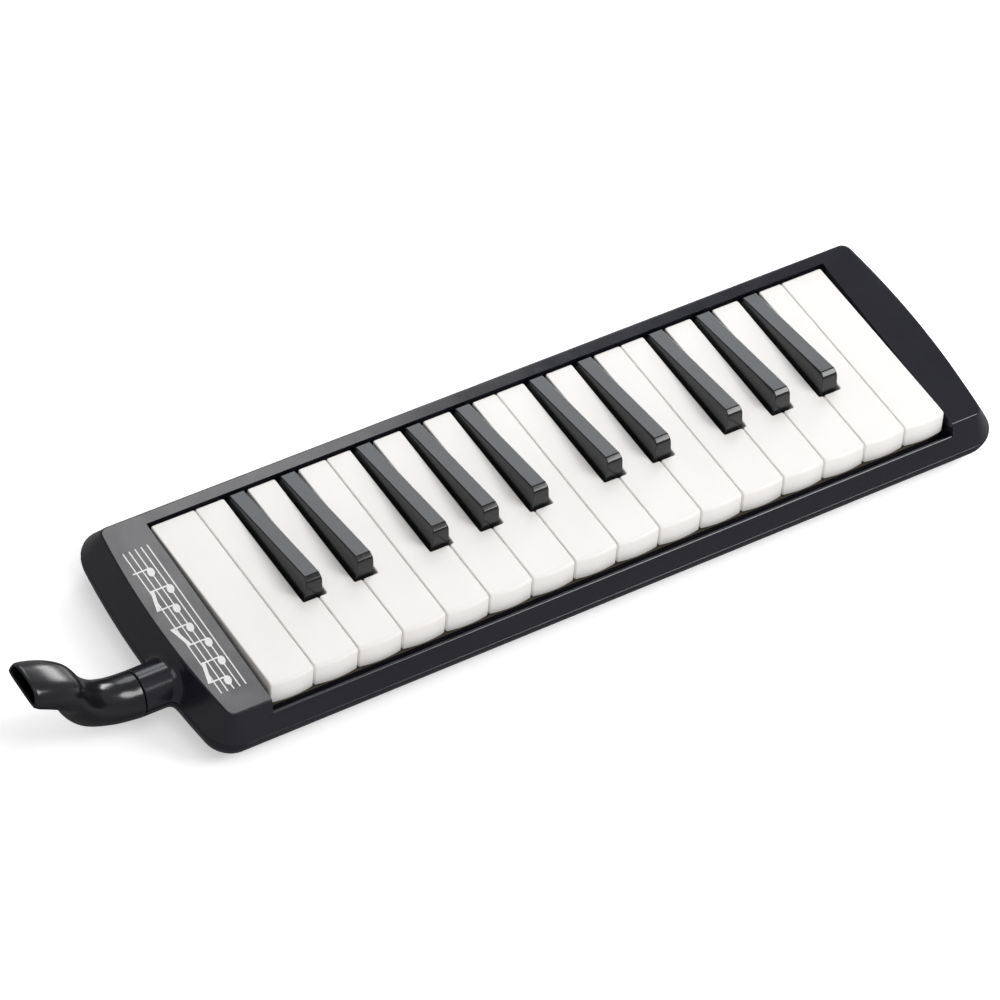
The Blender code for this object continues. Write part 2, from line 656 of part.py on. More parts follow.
def build_reed_chamber(keys, material):
    """Make the chamber body: a cell and a pad hole for each key, and the axle brackets."""
    chamber = layer("reed_chamber", CHAMBER_Z, material)

    def cells(bm):
        z0, z1, z2 = CHAMBER_Z[0] - 1, CELL_TOP_Z, CHAMBER_Z[1] + 1
        for key in keys:
            x = key[-1]
            loops = []
            for half, (front, rear), z in ((CELL_HALF, CELL_Y, z0), (CELL_HALF, CELL_Y, z1),
                                           (HOLE_HALF, HOLE_Y, z1), (HOLE_HALF, HOLE_Y, z2)):
                loops.append([(x - half, front, z), (x + half, front, z), (x + half, rear, z), (x - half, rear, z)])
            loft(bm, loops)
    cut(chamber, solid("chamber_cells", cells))

    def brackets(bm):
        for boundary in BRACKET_BOUNDARIES:
            x = KEYBOARD_X + (boundary - 8) * PITCH
            if boundary in (0, 16):
                x += BRACKET_INSET * (1 if boundary == 0 else -1)
            profile = [(AXLE_Y - 4.5, CHAMBER_Z[1] - 0.8), (AXLE_Y + 4.5, CHAMBER_Z[1] - 0.8),
                       (AXLE_Y + 3, BRACKET_TOP_Z), (AXLE_Y - 3, BRACKET_TOP_Z)]
            add_prism(bm, profile, x - 1.5, x + 1.5)
    cut(chamber, solid("axle_brackets", brackets), "UNION")
    reach = [(AXLE_RADIUS + 0.08, -170), (AXLE_RADIUS + 0.08, 170)]
    cut(chamber, solid("axle_bore", lambda bm: add_turned(bm, reach, (0, AXLE_Y, AXLE_Z), "X", 20)))
    hole = STACK_SCREW_R + 0.05
    cut(chamber, stack_screw_holes("chamber_screw_holes", [(hole, CHAMBER_Z[0] - 1), (hole, CHAMBER_Z[1] - 0.7)]))
    return chamber


def build_stack_screw(number, x, y, material):
    """Make one small screw that clamps the chamber stack from below."""
    seat = STACK_SEAT_Z - GAP
    profile = [(STACK_HEAD_R, seat - 1.5), (STACK_HEAD_R, seat), (STACK_SCREW_R, seat),
               (STACK_SCREW_R, CHAMBER_Z[1] - 1.2)]
    return solid(f"chamber_screw_{number}", lambda bm: add_turned(bm, profile, (x, y, 0), "Z", 8), material)


# ---- air path ------------------------------------------------------------

def build_inlet_duct(material):
    """Make the duct that takes the breath from the collar down into the chamber's side."""
    centre = (0, INLET_Y, INLET_Z)
    duct = solid("inlet_duct", lambda bm: add_turned(
        bm, [(DUCT_R, RING_X + 1), (DUCT_R, DUCT_END_X)], centre, "X", 20), material)
    inner_x, outer_x = CHAMBER_X[0] - GAP, DUCT_END_X - 4
    cut(duct, solid("duct_shoe", lambda bm: add_box(
        bm, (outer_x, DUCT_SHOE_Y[0], LID_Z[0] + 0.4), (inner_x, DUCT_SHOE_Y[1], DUCT_SHOE_TOP_Z))), "UNION")
    cut(duct, solid("duct_bore", lambda bm: add_turned(
        bm, [(DUCT_BORE_R, RING_X - 2), (DUCT_BORE_R, DUCT_END_X - 1.2)], centre, "X", 20)))
    cut(duct, solid("duct_passage", lambda bm: add_box(
        bm, (outer_x + 1.2, PORT_Y[0], PORT_Z[0]), (inner_x + 1, PORT_Y[1], PORT_Z[1]))))
    return duct


def mouth_ring(section, wall):
    """Return one section's ring of points, round at the tube and a flat oval at the lips."""
    reach, rise, turn, half_y, half_z, _ = section
    turn = math.radians(turn)
    flatness = min(1.0, (half_y - half_z) / 5.0)
    power = 1.0 + flatness * (OVAL_POWER - 1.0)
    ring = []
    for i in range(MOUTH_SEGMENTS):
        angle = 2 * math.pi * (i + 0.5) / MOUTH_SEGMENTS
        c, s = math.cos(angle), math.sin(angle)
        across = (half_y - wall) * math.copysign(abs(c) ** power, c)
        up = (half_z - wall) * math.copysign(abs(s) ** power, s)
        ring.append((RING_X - GAP - reach + up * math.sin(turn), INLET_Y + across,
                     INLET_Z + rise + up * math.cos(turn)))
    return ring


def round_ring(x, radius):
    """Return a ring of the mouthpiece's straight spigot."""
    ring = []
    for i in range(MOUTH_SEGMENTS):
        angle = 2 * math.pi * (i + 0.5) / MOUTH_SEGMENTS
        ring.append((x, INLET_Y + radius * math.cos(angle), INLET_Z + radius * math.sin(angle)))
    return ring


def build_mouthpiece(material):
    """Make the S-shaped mouthpiece: a spigot, a bent tube and a flat slotted tip."""
    start_x, ring_x = RING_X + SPIGOT_LENGTH, RING_X - GAP
    outer = [round_ring(start_x, SPIGOT_R - 0.3), round_ring(ring_x, SPIGOT_R)]
    inner = [round_ring(start_x, BORE_R), round_ring(ring_x, BORE_R)]
    outer.append(round_ring(ring_x, COLLAR_R - 0.4))
    outer.append(round_ring(ring_x - 0.5, COLLAR_R))
    for section in MOUTH_SECTIONS[1:]:
        outer.append(mouth_ring(section, 0.0))
        inner.append(mouth_ring(section, section[-1]))

    def tube(bm):
        outside = loft(bm, outer, cap_first=False, cap_last=False)
        inside = loft(bm, inner, cap_first=False, cap_last=False)
        for end in (0, -1):
            for i in range(MOUTH_SEGMENTS):
                j = (i + 1) % MOUTH_SEGMENTS
                bm.faces.new((outside[end][i], outside[end][j], inside[end][j], inside[end][i]))
    return solid("mouthpiece", tube, material)


def build_drain_valve(material_body, material_button, material_seal):
    """Make the drain valve: a seated sleeve, a push button on a stem and its seal."""
    centre = (0, DRAIN_Y, DRAIN_Z)
    start_x = CHAMBER_X[1] + GAP
    body = solid("drain_valve_body", lambda bm: add_turned(
        bm, [(5.0, start_x), (5.0, VALVE_END_X)], centre, "X", 16), material_body)
    for name, radius, x0, x1 in (("valve_inner_bore", 3.9, start_x - 2, VALVE_SEAT_X[0]),
                                 ("valve_outer_bore", 3.9, VALVE_SEAT_X[1], VALVE_END_X + 2),
                                 ("valve_seat_bore", 2.0, start_x, VALVE_END_X)):
        cut(body, solid(name, lambda bm, r=radius, a=x0, b=x1: add_turned(bm, [(r, a), (r, b)], centre, "X", 16)))
    flange_r, flange_x0, flange_x1 = BUTTON_FLANGE
    profile = [(STEM_R, SEAL_X[0] - 0.8), (STEM_R, flange_x0), (flange_r, flange_x0), (flange_r, flange_x1),
               (BUTTON_R, flange_x1), (BUTTON_R, BUTTON_TIP_X - 0.6), (BUTTON_R - 0.6, BUTTON_TIP_X)]
    button = solid("drain_button", lambda bm: add_turned(bm, profile, centre, "X", 16), material_button)
    seal = solid("drain_seal", lambda bm: add_turned(
        bm, [(3.2, SEAL_X[0]), (3.2, SEAL_X[1])], centre, "X", 16), material_seal)
    cut(seal, solid("seal_hole", lambda bm: add_turned(
        bm, [(STEM_R + GAP, SEAL_X[0] - 1), (STEM_R + GAP, SEAL_X[1] + 1)], centre, "X", 16)))
    return body, button, seal


# ---- assembly ------------------------------------------------------------

def make_materials():
    """Return the part's materials by name."""
    return {"case": make_material("gloss_black_case", (0.030, 0.031, 0.036), 0.18),
            "pipe": make_material("black_mouthpiece", (0.028, 0.029, 0.033), 0.28),
            "white": make_material("warm_white_key", (0.86, 0.85, 0.83), 0.35),
            "black": make_material("black_key", (0.035, 0.036, 0.038), 0.25),
            "steel": make_material("steel", (0.60, 0.60, 0.62), 0.30, 1.0),
            "brass": make_material("reed_brass", (0.72, 0.56, 0.28), 0.35, 1.0),
            "grey": make_material("grey_moulding", (0.30, 0.31, 0.32), 0.55),
            "felt": make_material("olive_felt", (0.22, 0.20, 0.12), 0.95),
            "rubber": make_material("black_rubber", (0.05, 0.05, 0.05), 0.85)}


def main():
    """Build the whole melodica."""
    clear_scene()
    materials = make_materials()
    keys = keyboard_layout()
    build_top_cover(materials["case"])
    build_bottom_cover(materials["case"])
    for key in keys:
        build_key(key, materials)
    build_axle(materials["steel"])
    build_felt(materials["felt"])
    build_spring_comb(keys, materials["brass"])
    build_reed_chamber(keys, materials["grey"])
    build_reed_plate(keys, materials["brass"])
    build_gasket(materials["rubber"])
    build_chamber_lid(materials["grey"])
    for number, (x, y) in enumerate(stack_screw_places(), 1):
        build_stack_screw(number, x, y, materials["steel"])
    build_inlet_duct(materials["grey"])
    build_mouthpiece(materials["pipe"])
    build_drain_valve(materials["grey"], materials["pipe"], materials["rubber"])
    for number, (x, y) in enumerate(SCREW_PLACES, 1):
        build_case_screw(number, x, y, materials["steel"])


main()
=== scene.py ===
"""Looks of a 26-key melodica: refined shells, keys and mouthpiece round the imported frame.

Mesh code works in millimetres in the frame's own axes and is scaled to metres when an object is made.
"""
import math

import bmesh
import bpy
from mathutils import Matrix, Vector


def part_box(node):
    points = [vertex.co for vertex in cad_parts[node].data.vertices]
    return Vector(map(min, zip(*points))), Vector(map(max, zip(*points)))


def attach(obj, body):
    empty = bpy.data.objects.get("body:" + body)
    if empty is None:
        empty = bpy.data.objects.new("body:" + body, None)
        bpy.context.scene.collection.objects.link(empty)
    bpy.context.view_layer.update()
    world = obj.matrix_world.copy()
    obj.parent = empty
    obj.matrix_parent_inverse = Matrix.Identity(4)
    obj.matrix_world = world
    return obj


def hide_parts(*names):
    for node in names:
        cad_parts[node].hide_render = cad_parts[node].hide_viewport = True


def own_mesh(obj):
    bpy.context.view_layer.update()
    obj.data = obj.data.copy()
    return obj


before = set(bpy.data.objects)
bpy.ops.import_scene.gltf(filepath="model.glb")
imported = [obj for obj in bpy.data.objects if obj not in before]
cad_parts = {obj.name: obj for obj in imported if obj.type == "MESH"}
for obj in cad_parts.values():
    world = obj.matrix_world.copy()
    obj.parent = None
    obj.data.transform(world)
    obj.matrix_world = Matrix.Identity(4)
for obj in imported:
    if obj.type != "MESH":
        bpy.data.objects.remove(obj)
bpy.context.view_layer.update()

MM = 0.001
GAP = 0.3

# Case, as in the CAD model
CASE_TOP_Z = 27.0
SPLIT_Z = 13.6
TOP_HALF_LENGTH, TOP_FRONT_Y, TOP_REAR_Y = 181.9, 48.0, 50.4
WIDE_HALF_LENGTH, WIDE_FRONT_Y, WIDE_REAR_Y = 189.1, 53.8, 58.0
WIDE_SHIFT_X = 1.5
END_ARC_RADIUS = 340.0
TOP_CORNER_RADIUS, WIDE_CORNER_RADIUS = 4.0, 13.0
TOP_EDGE_BEVEL = 0.9
WALL, FLOOR_WALL = 2.0, 2.2
LIP_Z = 21.5
LEDGE_Z, LEDGE_REAR_Y = 14.8, -30.0
INNER_WALL_Z, REAR_WALL_Z = 15.6, 18.6
OPENING_HALF_X, OPENING_REAR_Y, OPENING_FRONT_Y = 161.4, 44.9, -48.1
CORNER_STEPS, END_STEPS, DISH_STEPS = 9, 10, 8
LEDGE_ROOT_Y, END_WALL_FRONT_Y = -53.2, -51.5
CREST_INSIDE_Y, CREST_OUTSIDE_Y, GUTTER_DEPTH = -49.35, -49.6, 1.6    # the rail's rounded top

# Keyboard, as in the CAD model
WHITE_NOTES = ("B3", "C4", "D4", "E4", "F4", "G4", "A4", "B4",
               "C5", "D5", "E5", "F5", "G5", "A5", "B5", "C6")
BLACK_OFFSETS = {"C": -1.5, "D": 1.8, "F": -3.4, "G": 0.0, "A": 3.4}
PITCH, KEYBOARD_X = 20.0, 1.6
WHITE_WIDTH, WHITE_LENGTH = 19.65, 87.1
KEY_TOP, FRONT_REACH = 8.6, 60.0
FRONT_DEPTH, REAR_DEPTH = 9.5, 5.5
FRONT_LEAN, FRONT_SAG = 1.5, 1.0
KEY_WALL, KEY_TOP_WALL = 1.4, 1.8
REST_TILT = 2.76
NOTCH_FRONT, NOTCH_HALF = 29.0, 5.3
BLACK_FRONT, BLACK_REAR = 29.9, 86.9
BLACK_HALF, BLACK_TOP_HALF, BLACK_HEIGHT = 4.1, 3.3, 8.8
SKIRT_END, SKIRT_RUN = 12.0, 4.0
EDGE_RADIUS, FRONT_EDGE_RADIUS, FRONT_SOFT_END = 0.6, 1.3, 4.0
FRONT_CORNER, CORNER, NOTCH_CORNER = 0.95, 0.9, 0.6
LEAN_RUN = 2.0                  # the front's lean fades out over this distance
AXLE_Y, AXLE_Z = 16.5, 18.5
HOOK_RADIUS, HOOK_OUTER, HOOK_LOW_Z = 1.6, 4.2, -2.2
NOSE_REACH, RIB_HALF = 12.0, 1.8
PAD_Y, PAD_THICK, CHAMBER_TOP_Z = (31.5, 42.5), 2.4, 15.0

# Air path, as in the CAD model
INLET_Y, INLET_Z, RING_X = -15.0, 13.5, -198.7
COLLAR_R, COLLAR_END_X = 9.4, -176.0
COLLAR_FILLET, COLLAR_FILLET_STEPS, COLLAR_SEGMENTS = 3.0, 7, 72
DUCT_R = 8.0
SPIGOT_R, SPIGOT_LENGTH, BORE_R = 6.6, 14.0, 5.3
# Each station: reach from the ring, rise, turn in degrees, half width, half height, wall
MOUTH_SECTIONS = ((0.0, 0.0, 4, 9.4, 9.4, 2.6),
                  (7.0, 0.9, 9, 9.2, 9.2, 2.5),
                  (13.4, 2.6, 18, 9.0, 9.0, 2.4),
                  (21.0, 6.2, 33, 8.8, 8.8, 2.2),
                  (26.5, 11.4, 50, 8.9, 8.0, 2.0),
                  (30.8, 17.5, 57, 9.2, 6.9, 1.8),
                  (34.4, 24.6, 47, 10.1, 5.7, 1.6),
                  (39.2, 29.3, 32, 10.6, 5.0, 1.3),
                  (45.5, 33.2, 21, 10.7, 4.6, 1.2),
                  (51.4, 35.9, 8, 10.4, 4.3, 1.1),
                  (53.0, 36.5, 6, 9.7, 4.2, 1.1))
MOUTH_SEGMENTS, MOUTH_STEPS = 48, 6
LIPS_STATION, LIPS_RUN = 5.0, 1.2
SOLE = 0.72                     # how far down the lips' flat underside is, as a share of the half height

# Reeds: the rear ends, the top, the longest and how much shorter the last one is
REED_REAR_Y, REED_Z, REED_LONGEST, REED_SPREAD = 41.0, 10.2, 40.0, 21.0

# Drain valve, as in the CAD model, and its spring
DRAIN_Y, DRAIN_Z = 10.0, 7.8
DRAIN_STEM_R, DRAIN_FLANGE_R, DRAIN_CAP_R = 1.1, 3.9, 3.3
DRAIN_FLANGE_X = (177.2, 178.6)
SPRING_X, SPRING_R, SPRING_WIRE_R, SPRING_TURNS = (168.8, 176.9), 2.9, 0.25, 6

# Case screws, as in the CAD model, and their cross recess
SCREW_PLACES = ((-170.0, 37.0), (170.0, 37.0), (-170.0, -36.0), (170.0, -36.0),
                (-58.0, -34.0), (58.0, -34.0))
CORNER_SCREW_X = 100.0
SCREW_R, SCREW_HEAD_R, SCREW_SEAT_Z, SCREW_TIP_Z = 1.45, 3.0, 2.6, 13.4
BOSS_SPLIT_Z, BOSS_R = 6.2, 3.8
SCREW_ARM_LENGTH, SCREW_ARM_HALF = 1.7, 0.38

# Print on the bass end panel: x and y of the stave, then each note's y and its half steps off the middle line
STAVE_X, STAVE_Y, STAVE_SPACING = -170.2, (-37.0, 36.0), 2.7
LINE_HALF, STEM_HALF, STEM_LENGTH, BEAM_HALF = 0.27, 0.33, 7.0, 0.8
NOTES = ((-32.5, 0), (-23.5, -2), (-14.0, -2), (-5.0, 0), (5.0, 0), (14.0, -2), (24.0, 0))
BEAMS = ((0, 1), (2, 3), (4, 5))
HEAD_LONG, HEAD_WIDE, HEAD_TILT = 2.15, 1.5, (0.94, 0.34)
PRINT_LEVEL, PRINT_THICK = CASE_TOP_Z - 0.05, 0.10

# Lights: name, place, target and size in metres, watts, colour
LIGHTS = (("reflected_softbox", (0.39, 0.64, 0.97), (-0.09, 0.02, 0.03), (0.22, 0.34), 1.1),
          ("rear_softbox", (0.48, 0.86, 0.68), (0.0, 0.0, 0.03), (0.60, 0.42), 2.3, (0.92, 0.96, 1.0)),
          ("beak_softbox", (0.80, 0.56, 0.20), (-0.24, -0.015, 0.045), (0.36, 0.24), 2.2),
          ("key_softbox", (0.78, -0.61, 1.02), (0.05, 0, 0), (0.7, 0.42), 9.0),
          ("top_softbox", (-0.2, -0.4, 2.0), (0, 0, 0), (1.2, 1.2), 7.0))

# Camera, in metres and degrees
CAMERA_PLACE = (-1.12485, -1.08107, 1.82975)
CAMERA_TURN = (39.33792, -10.41940, -33.07446)
CAMERA_LENS = 219.85


# ---- mesh helpers --------------------------------------------------------

def make_object(name, bm, material, smooth_angle=35.0):
    """Turn a millimetre bmesh into a metre object."""
    bmesh.ops.scale(bm, vec=(MM, MM, MM), verts=bm.verts)
    bmesh.ops.recalc_face_normals(bm, faces=bm.faces)
    mesh = bpy.data.meshes.new(name)
    bm.to_mesh(mesh)
    bm.free()
    mesh.shade_smooth()
    mesh.set_sharp_from_angle(angle=math.radians(smooth_angle))
    if material:
        mesh.materials.append(material)
    thing = bpy.data.objects.new(name, mesh)
    bpy.context.scene.collection.objects.link(thing)
    return thing


def solid(name, fill, material=None, smooth_angle=35.0):
    """Make one object from a function that fills a bmesh."""
    bm = bmesh.new()
    fill(bm)
    return make_object(name, bm, material, smooth_angle)


def bake(thing, smooth_angle=35.0):
    """Replace an object's mesh by what its modifiers make of it."""
    depsgraph = bpy.context.evaluated_depsgraph_get()
    mesh = bpy.data.meshes.new_from_object(thing.evaluated_get(depsgraph))
    thing.modifiers.clear()
    thing.data = mesh
    mesh.shade_smooth()
    mesh.set_sharp_from_angle(angle=math.radians(smooth_angle))


def cut(target, cutters, operation="DIFFERENCE", smooth_angle=35.0):
    """Apply one Boolean per cutter to the target and delete the cutters."""
    for cutter in cutters:
        modifier = target.modifiers.new(operation, "BOOLEAN")
        modifier.operation = operation
        modifier.solver = "EXACT"
        modifier.object = cutter
    bpy.context.view_layer.update()
    bake(target, smooth_angle)
    for cutter in cutters:
        bpy.data.objects.remove(cutter, do_unlink=True)


def soften(thing, width, segments=2, angle=40.0):
    """Round the sharp edges by a small radius and apply it."""
    bevel = thing.modifiers.new("edge", "BEVEL")
    bevel.width = width * MM
    bevel.segments = segments
    bevel.limit_method = "ANGLE"
    bevel.angle_limit = math.radians(angle)
    bevel.use_clamp_overlap = True
    bpy.context.view_layer.update()
    bake(thing, 60.0)


def weigh_normals(thing):
    """Keep flat faces flat beside their rounded edges."""
    weighted = thing.modifiers.new("normals", "WEIGHTED_NORMAL")
    weighted.keep_sharp = True
    weighted.weight = 80


def loft(bm, loops, cap_first=True, cap_last=True):
    """Join rings of points of equal length, and cap the ends asked for."""
    rings = [[bm.verts.new(point) for point in loop] for loop in loops]
    count = len(rings[0])
    for low, high in zip(rings, rings[1:]):
        for i in range(count):
            j = (i + 1) % count
            bm.faces.new((low[i], low[j], high[j], high[i]))
    if cap_first:
        bm.faces.new(reversed(rings[0]))
    if cap_last:
        bm.faces.new(rings[-1])
    return rings


def open_shell(bm, outer_loops, inner_loops):
    """Join an outer and an inner stack of rings that meet at their first ring."""
    outer = loft(bm, outer_loops, cap_first=False)
    inner = loft(bm, inner_loops, cap_first=False)
    count = len(outer[0])
    for i in range(count):
        j = (i + 1) % count
        bm.faces.new((outer[0][i], outer[0][j], inner[0][j], inner[0][i]))


def add_box(bm, low, high):
    """Add a box between two corners."""
    x0, y0, z0 = low
    x1, y1, z1 = high
    ring = ((x0, y0), (x1, y0), (x1, y1), (x0, y1))
    loft(bm, [[(x, y, z) for x, y in ring] for z in (z0, z1)])


def add_turned(bm, profile, centre, axis="Z", segments=32):
    """Add a solid of revolution; profile holds (radius, height) pairs from end to end."""
    turn = {"Z": Matrix.Identity(3), "X": Matrix.Rotation(math.pi / 2, 3, "Y")}[axis]
    loops = []
    for radius, height in profile:
        ring = []
        for i in range(segments):
            angle = 2 * math.pi * (i + 0.5) / segments
            point = Vector((radius * math.cos(angle), radius * math.sin(angle), height))
            ring.append(turn @ point + Vector(centre))
        loops.append(ring)
    loft(bm, loops)


def add_prism(bm, profile, x0, x1):
    """Add a (y, z) profile drawn out along X."""
    loft(bm, [[(x, y, z) for y, z in profile] for x in (x0, x1)])


def fillet(points, radii, steps=5):
    """Round the corners of a closed outline; every corner with a radius gives steps + 1 points."""
    result = []
    count = len(points)
    for i, radius in enumerate(radii):
        here = Vector(points[i])
        if not radius:
            result.append(tuple(here))
            continue
        back = (Vector(points[i - 1]) - here).normalized()
        ahead = (Vector(points[(i + 1) % count]) - here).normalized()
        half = back.angle(ahead) / 2
        centre = here + (back + ahead).normalized() * (radius / math.sin(half))
        start = here + back * (radius / math.tan(half)) - centre
        end = here + ahead * (radius / math.tan(half)) - centre
        sweep = start.angle_signed(end)
        for k in range(steps + 1):
            angle = -sweep * k / steps
            c, s = math.cos(angle), math.sin(angle)
            result.append((centre.x + start.x * c - start.y * s, centre.y + start.x * s + start.y * c))
    return result


def offset_outline(points, inset):
    """Move every side of an anticlockwise outline inwards by the same amount."""
    moved = []
    count = len(points)
    for i in range(count):
        before, here, after = (Vector(points[(i + k) % count]) for k in (-1, 0, 1))
        first, second = (here - before).normalized(), (after - here).normalized()
        normals = Vector((-first.y, first.x)), Vector((-second.y, second.x))
        bisector = (normals[0] + normals[1]).normalized()
        moved.append(here + bisector * (inset / bisector.dot(normals[0])))
    return [(point.x, point.y) for point in moved]


def round_over(radius, steps=5):
    """Return (inset, drop from the top) pairs of a quarter-round edge, from the side to the top."""
    angles = [math.pi / 2 * k / steps for k in range(steps + 1)]
    return [(radius * (1 - math.cos(a)), radius * (1 - math.sin(a))) for a in angles]


def tube_along(bm, path, radius, segments=8):
    """Sweep a round section along a path of points."""
    points = [Vector(point) for point in path]
    normal = None
    loops = []
    for i, here in enumerate(points):
        ahead = points[min(i + 1, len(points) - 1)] - points[max(i - 1, 0)]
        ahead.normalize()
        if normal is None:
            normal = ahead.orthogonal().normalized()
        normal = (normal - ahead * normal.dot(ahead)).normalized()
        side = ahead.cross(normal)
        ring = []
        for k in range(segments):
            angle = 2 * math.pi * k / segments
            ring.append(here + normal * radius * math.cos(angle) + side * radius * math.sin(angle))
        loops.append(ring)
    loft(bm, loops)


# ---- materials -----------------------------------------------------------

def new_material(name, colour, roughness, metallic=0.0):
    """Return a Principled material, its node tree and its shader."""
    material = bpy.data.materials.new(name)
    material.use_nodes = True
    tree = material.node_tree
    shader = tree.nodes["Principled BSDF"]
    shader.inputs["Base Color"].default_value = (*colour, 1.0)
    shader.inputs["Roughness"].default_value = roughness
    shader.inputs["Metallic"].default_value = metallic
    material.diffuse_color = (*colour, 1.0)
    return material, tree, shader


def noise(tree, scale, detail=3.0, stretch=(1.0, 1.0, 1.0)):
    """Add a noise texture in the object's own coordinates, stretched along its axes."""
    coordinates = tree.nodes.new("ShaderNodeTexCoord")
    mapping = tree.nodes.new("ShaderNodeMapping")
    mapping.inputs["Scale"].default_value = stretch
    texture = tree.nodes.new("ShaderNodeTexNoise")
    texture.inputs["Scale"].default_value = scale
    texture.inputs["Detail"].default_value = detail
    tree.links.new(coordinates.outputs["Object"], mapping.inputs["Vector"])
    tree.links.new(mapping.outputs["Vector"], texture.inputs["Vector"])
    return texture.outputs["Fac"]


def spread(tree, value, low, high, source=(0.3, 0.7)):
    """Map a noise value onto a range."""
    node = tree.nodes.new("ShaderNodeMapRange")
    node.inputs["From Min"].default_value = source[0]
    node.inputs["From Max"].default_value = source[1]
    node.inputs["To Min"].default_value = low
    node.inputs["To Max"].default_value = high
    tree.links.new(value, node.inputs["Value"])
    return node.outputs["Result"]


def tint(tree, shader, value, first, second):
    """Mix two colours by a value into the base colour."""
    mix = tree.nodes.new("ShaderNodeMix")
    mix.data_type = "RGBA"
    mix.inputs["A"].default_value = (*first, 1.0)
    mix.inputs["B"].default_value = (*second, 1.0)
    tree.links.new(value, mix.inputs["Factor"])
    tree.links.new(mix.outputs["Result"], shader.inputs["Base Color"])


def relief(tree, shader, value, depth_mm):
    """Use a value as a fine bump of the given depth."""
    bump = tree.nodes.new("ShaderNodeBump")
    bump.inputs["Distance"].default_value = depth_mm * MM
    bump.inputs["Strength"].default_value = 1.0
    tree.links.new(value, bump.inputs["Height"])
    tree.links.new(bump.outputs["Normal"], shader.inputs["Normal"])


def plastic(name, dark, light, roughness, grain_scale, grain_mm):
    """Moulded plastic: faint colour drift, uneven gloss and a fine moulded grain."""
    material, tree, shader = new_material(name, dark, roughness)
    tint(tree, shader, spread(tree, noise(tree, 28.0), 0.0, 1.0), dark, light)
    gloss = spread(tree, noise(tree, 90.0, 4.0), roughness - 0.03, roughness + 0.04)
    tree.links.new(gloss, shader.inputs["Roughness"])
    relief(tree, shader, noise(tree, grain_scale, 2.0), grain_mm)
    return material


def metal(name, first, second, roughness, stretch):
    """Drawn or rolled metal with fine lines along one axis."""
    material, tree, shader = new_material(name, first, roughness, 1.0)
    lines = noise(tree, 500.0, 4.0, stretch)
    tint(tree, shader, spread(tree, lines, 0.0, 1.0), first, second)
    tree.links.new(spread(tree, lines, roughness - 0.08, roughness + 0.10), shader.inputs["Roughness"])
    relief(tree, shader, lines, 0.006)
    return material


def felt(name, first, second):
    """Pressed felt: mottled fibres with a soft sheen."""
    material, tree, shader = new_material(name, first, 0.95)
    fibres = noise(tree, 1700.0, 6.0, (1.0, 2.5, 1.0))
    tint(tree, shader, spread(tree, fibres, 0.0, 1.0), first, second)
    relief(tree, shader, fibres, 0.12)
    shader.inputs["Sheen Weight"].default_value = 0.25
    return material


def make_materials():
    """Return the scene's materials by name.

    A plastic has two colours, its roughness, and its grain's scale and depth in mm. A metal has two colours,
    its roughness, and the stretch of its lines along each axis.
    """
    return {
        "case": plastic("case_gloss_black", (0.0080, 0.0083, 0.0128), (0.0100, 0.0104, 0.0152),
                        0.17, 1600.0, 0.0003),
        "pipe": plastic("mouthpiece_black", (0.0062, 0.0064, 0.0085), (0.0085, 0.0088, 0.0110),
                        0.20, 1600.0, 0.0003),
        "white": plastic("key_warm_white", (0.912, 0.892, 0.868), (0.930, 0.912, 0.890), 0.36, 1500.0, 0.0015),
        "black": plastic("key_black", (0.0080, 0.0083, 0.0095), (0.0105, 0.0108, 0.0120),
                         0.15, 1600.0, 0.0003),
        "grey": plastic("inner_grey", (0.28, 0.29, 0.30), (0.32, 0.33, 0.34), 0.55, 1400.0, 0.02),
        "print": plastic("print_white", (0.82, 0.82, 0.81), (0.88, 0.88, 0.87), 0.45, 1500.0, 0.004),
        "rubber": plastic("black_rubber", (0.020, 0.020, 0.020), (0.035, 0.035, 0.034), 0.75, 1200.0, 0.02),
        "steel": metal("drawn_steel", (0.58, 0.58, 0.60), (0.68, 0.68, 0.70), 0.28, (0.05, 1.0, 1.0)),
        "screw": metal("screw_steel", (0.46, 0.46, 0.47), (0.60, 0.60, 0.61), 0.32, (1.0, 1.0, 0.3)),
        "brass": metal("rolled_brass", (0.70, 0.53, 0.25), (0.80, 0.63, 0.33), 0.30, (0.04, 1.0, 1.0)),
        "felt": felt("olive_felt", (0.120, 0.100, 0.060), (0.210, 0.180, 0.115)),
        "pad": felt("pad_felt", (0.36, 0.33, 0.27), (0.50, 0.47, 0.40))}


MATERIALS = make_materials()
NODE_MATERIALS = {"key_axle": "steel", "key_rest_felt": "felt", "spring_comb": "brass", "reed_plate": "brass",
                  "reed_chamber": "grey", "chamber_lid": "grey", "chamber_gasket": "rubber",
                  "inlet_duct": "grey", "drain_valve_body": "grey", "drain_seal": "rubber"}


def finish_piece(piece, body, slot, *nodes):
    """Put a piece on its body and hide the CAD nodes it stands for; the slot is not used."""
    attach(piece, body)
    if nodes:
        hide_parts(*nodes)
    return piece


def dress_frame():
    """Give each CAD node that stays in view its own material."""
    for name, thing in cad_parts.items():
        key = "screw" if name.startswith("chamber_screw") else NODE_MATERIALS.get(name)
        if key:
            for index in range(len(thing.data.materials)):
                thing.data.materials[index] = MATERIALS[key]


# ---- case ----------------------------------------------------------------

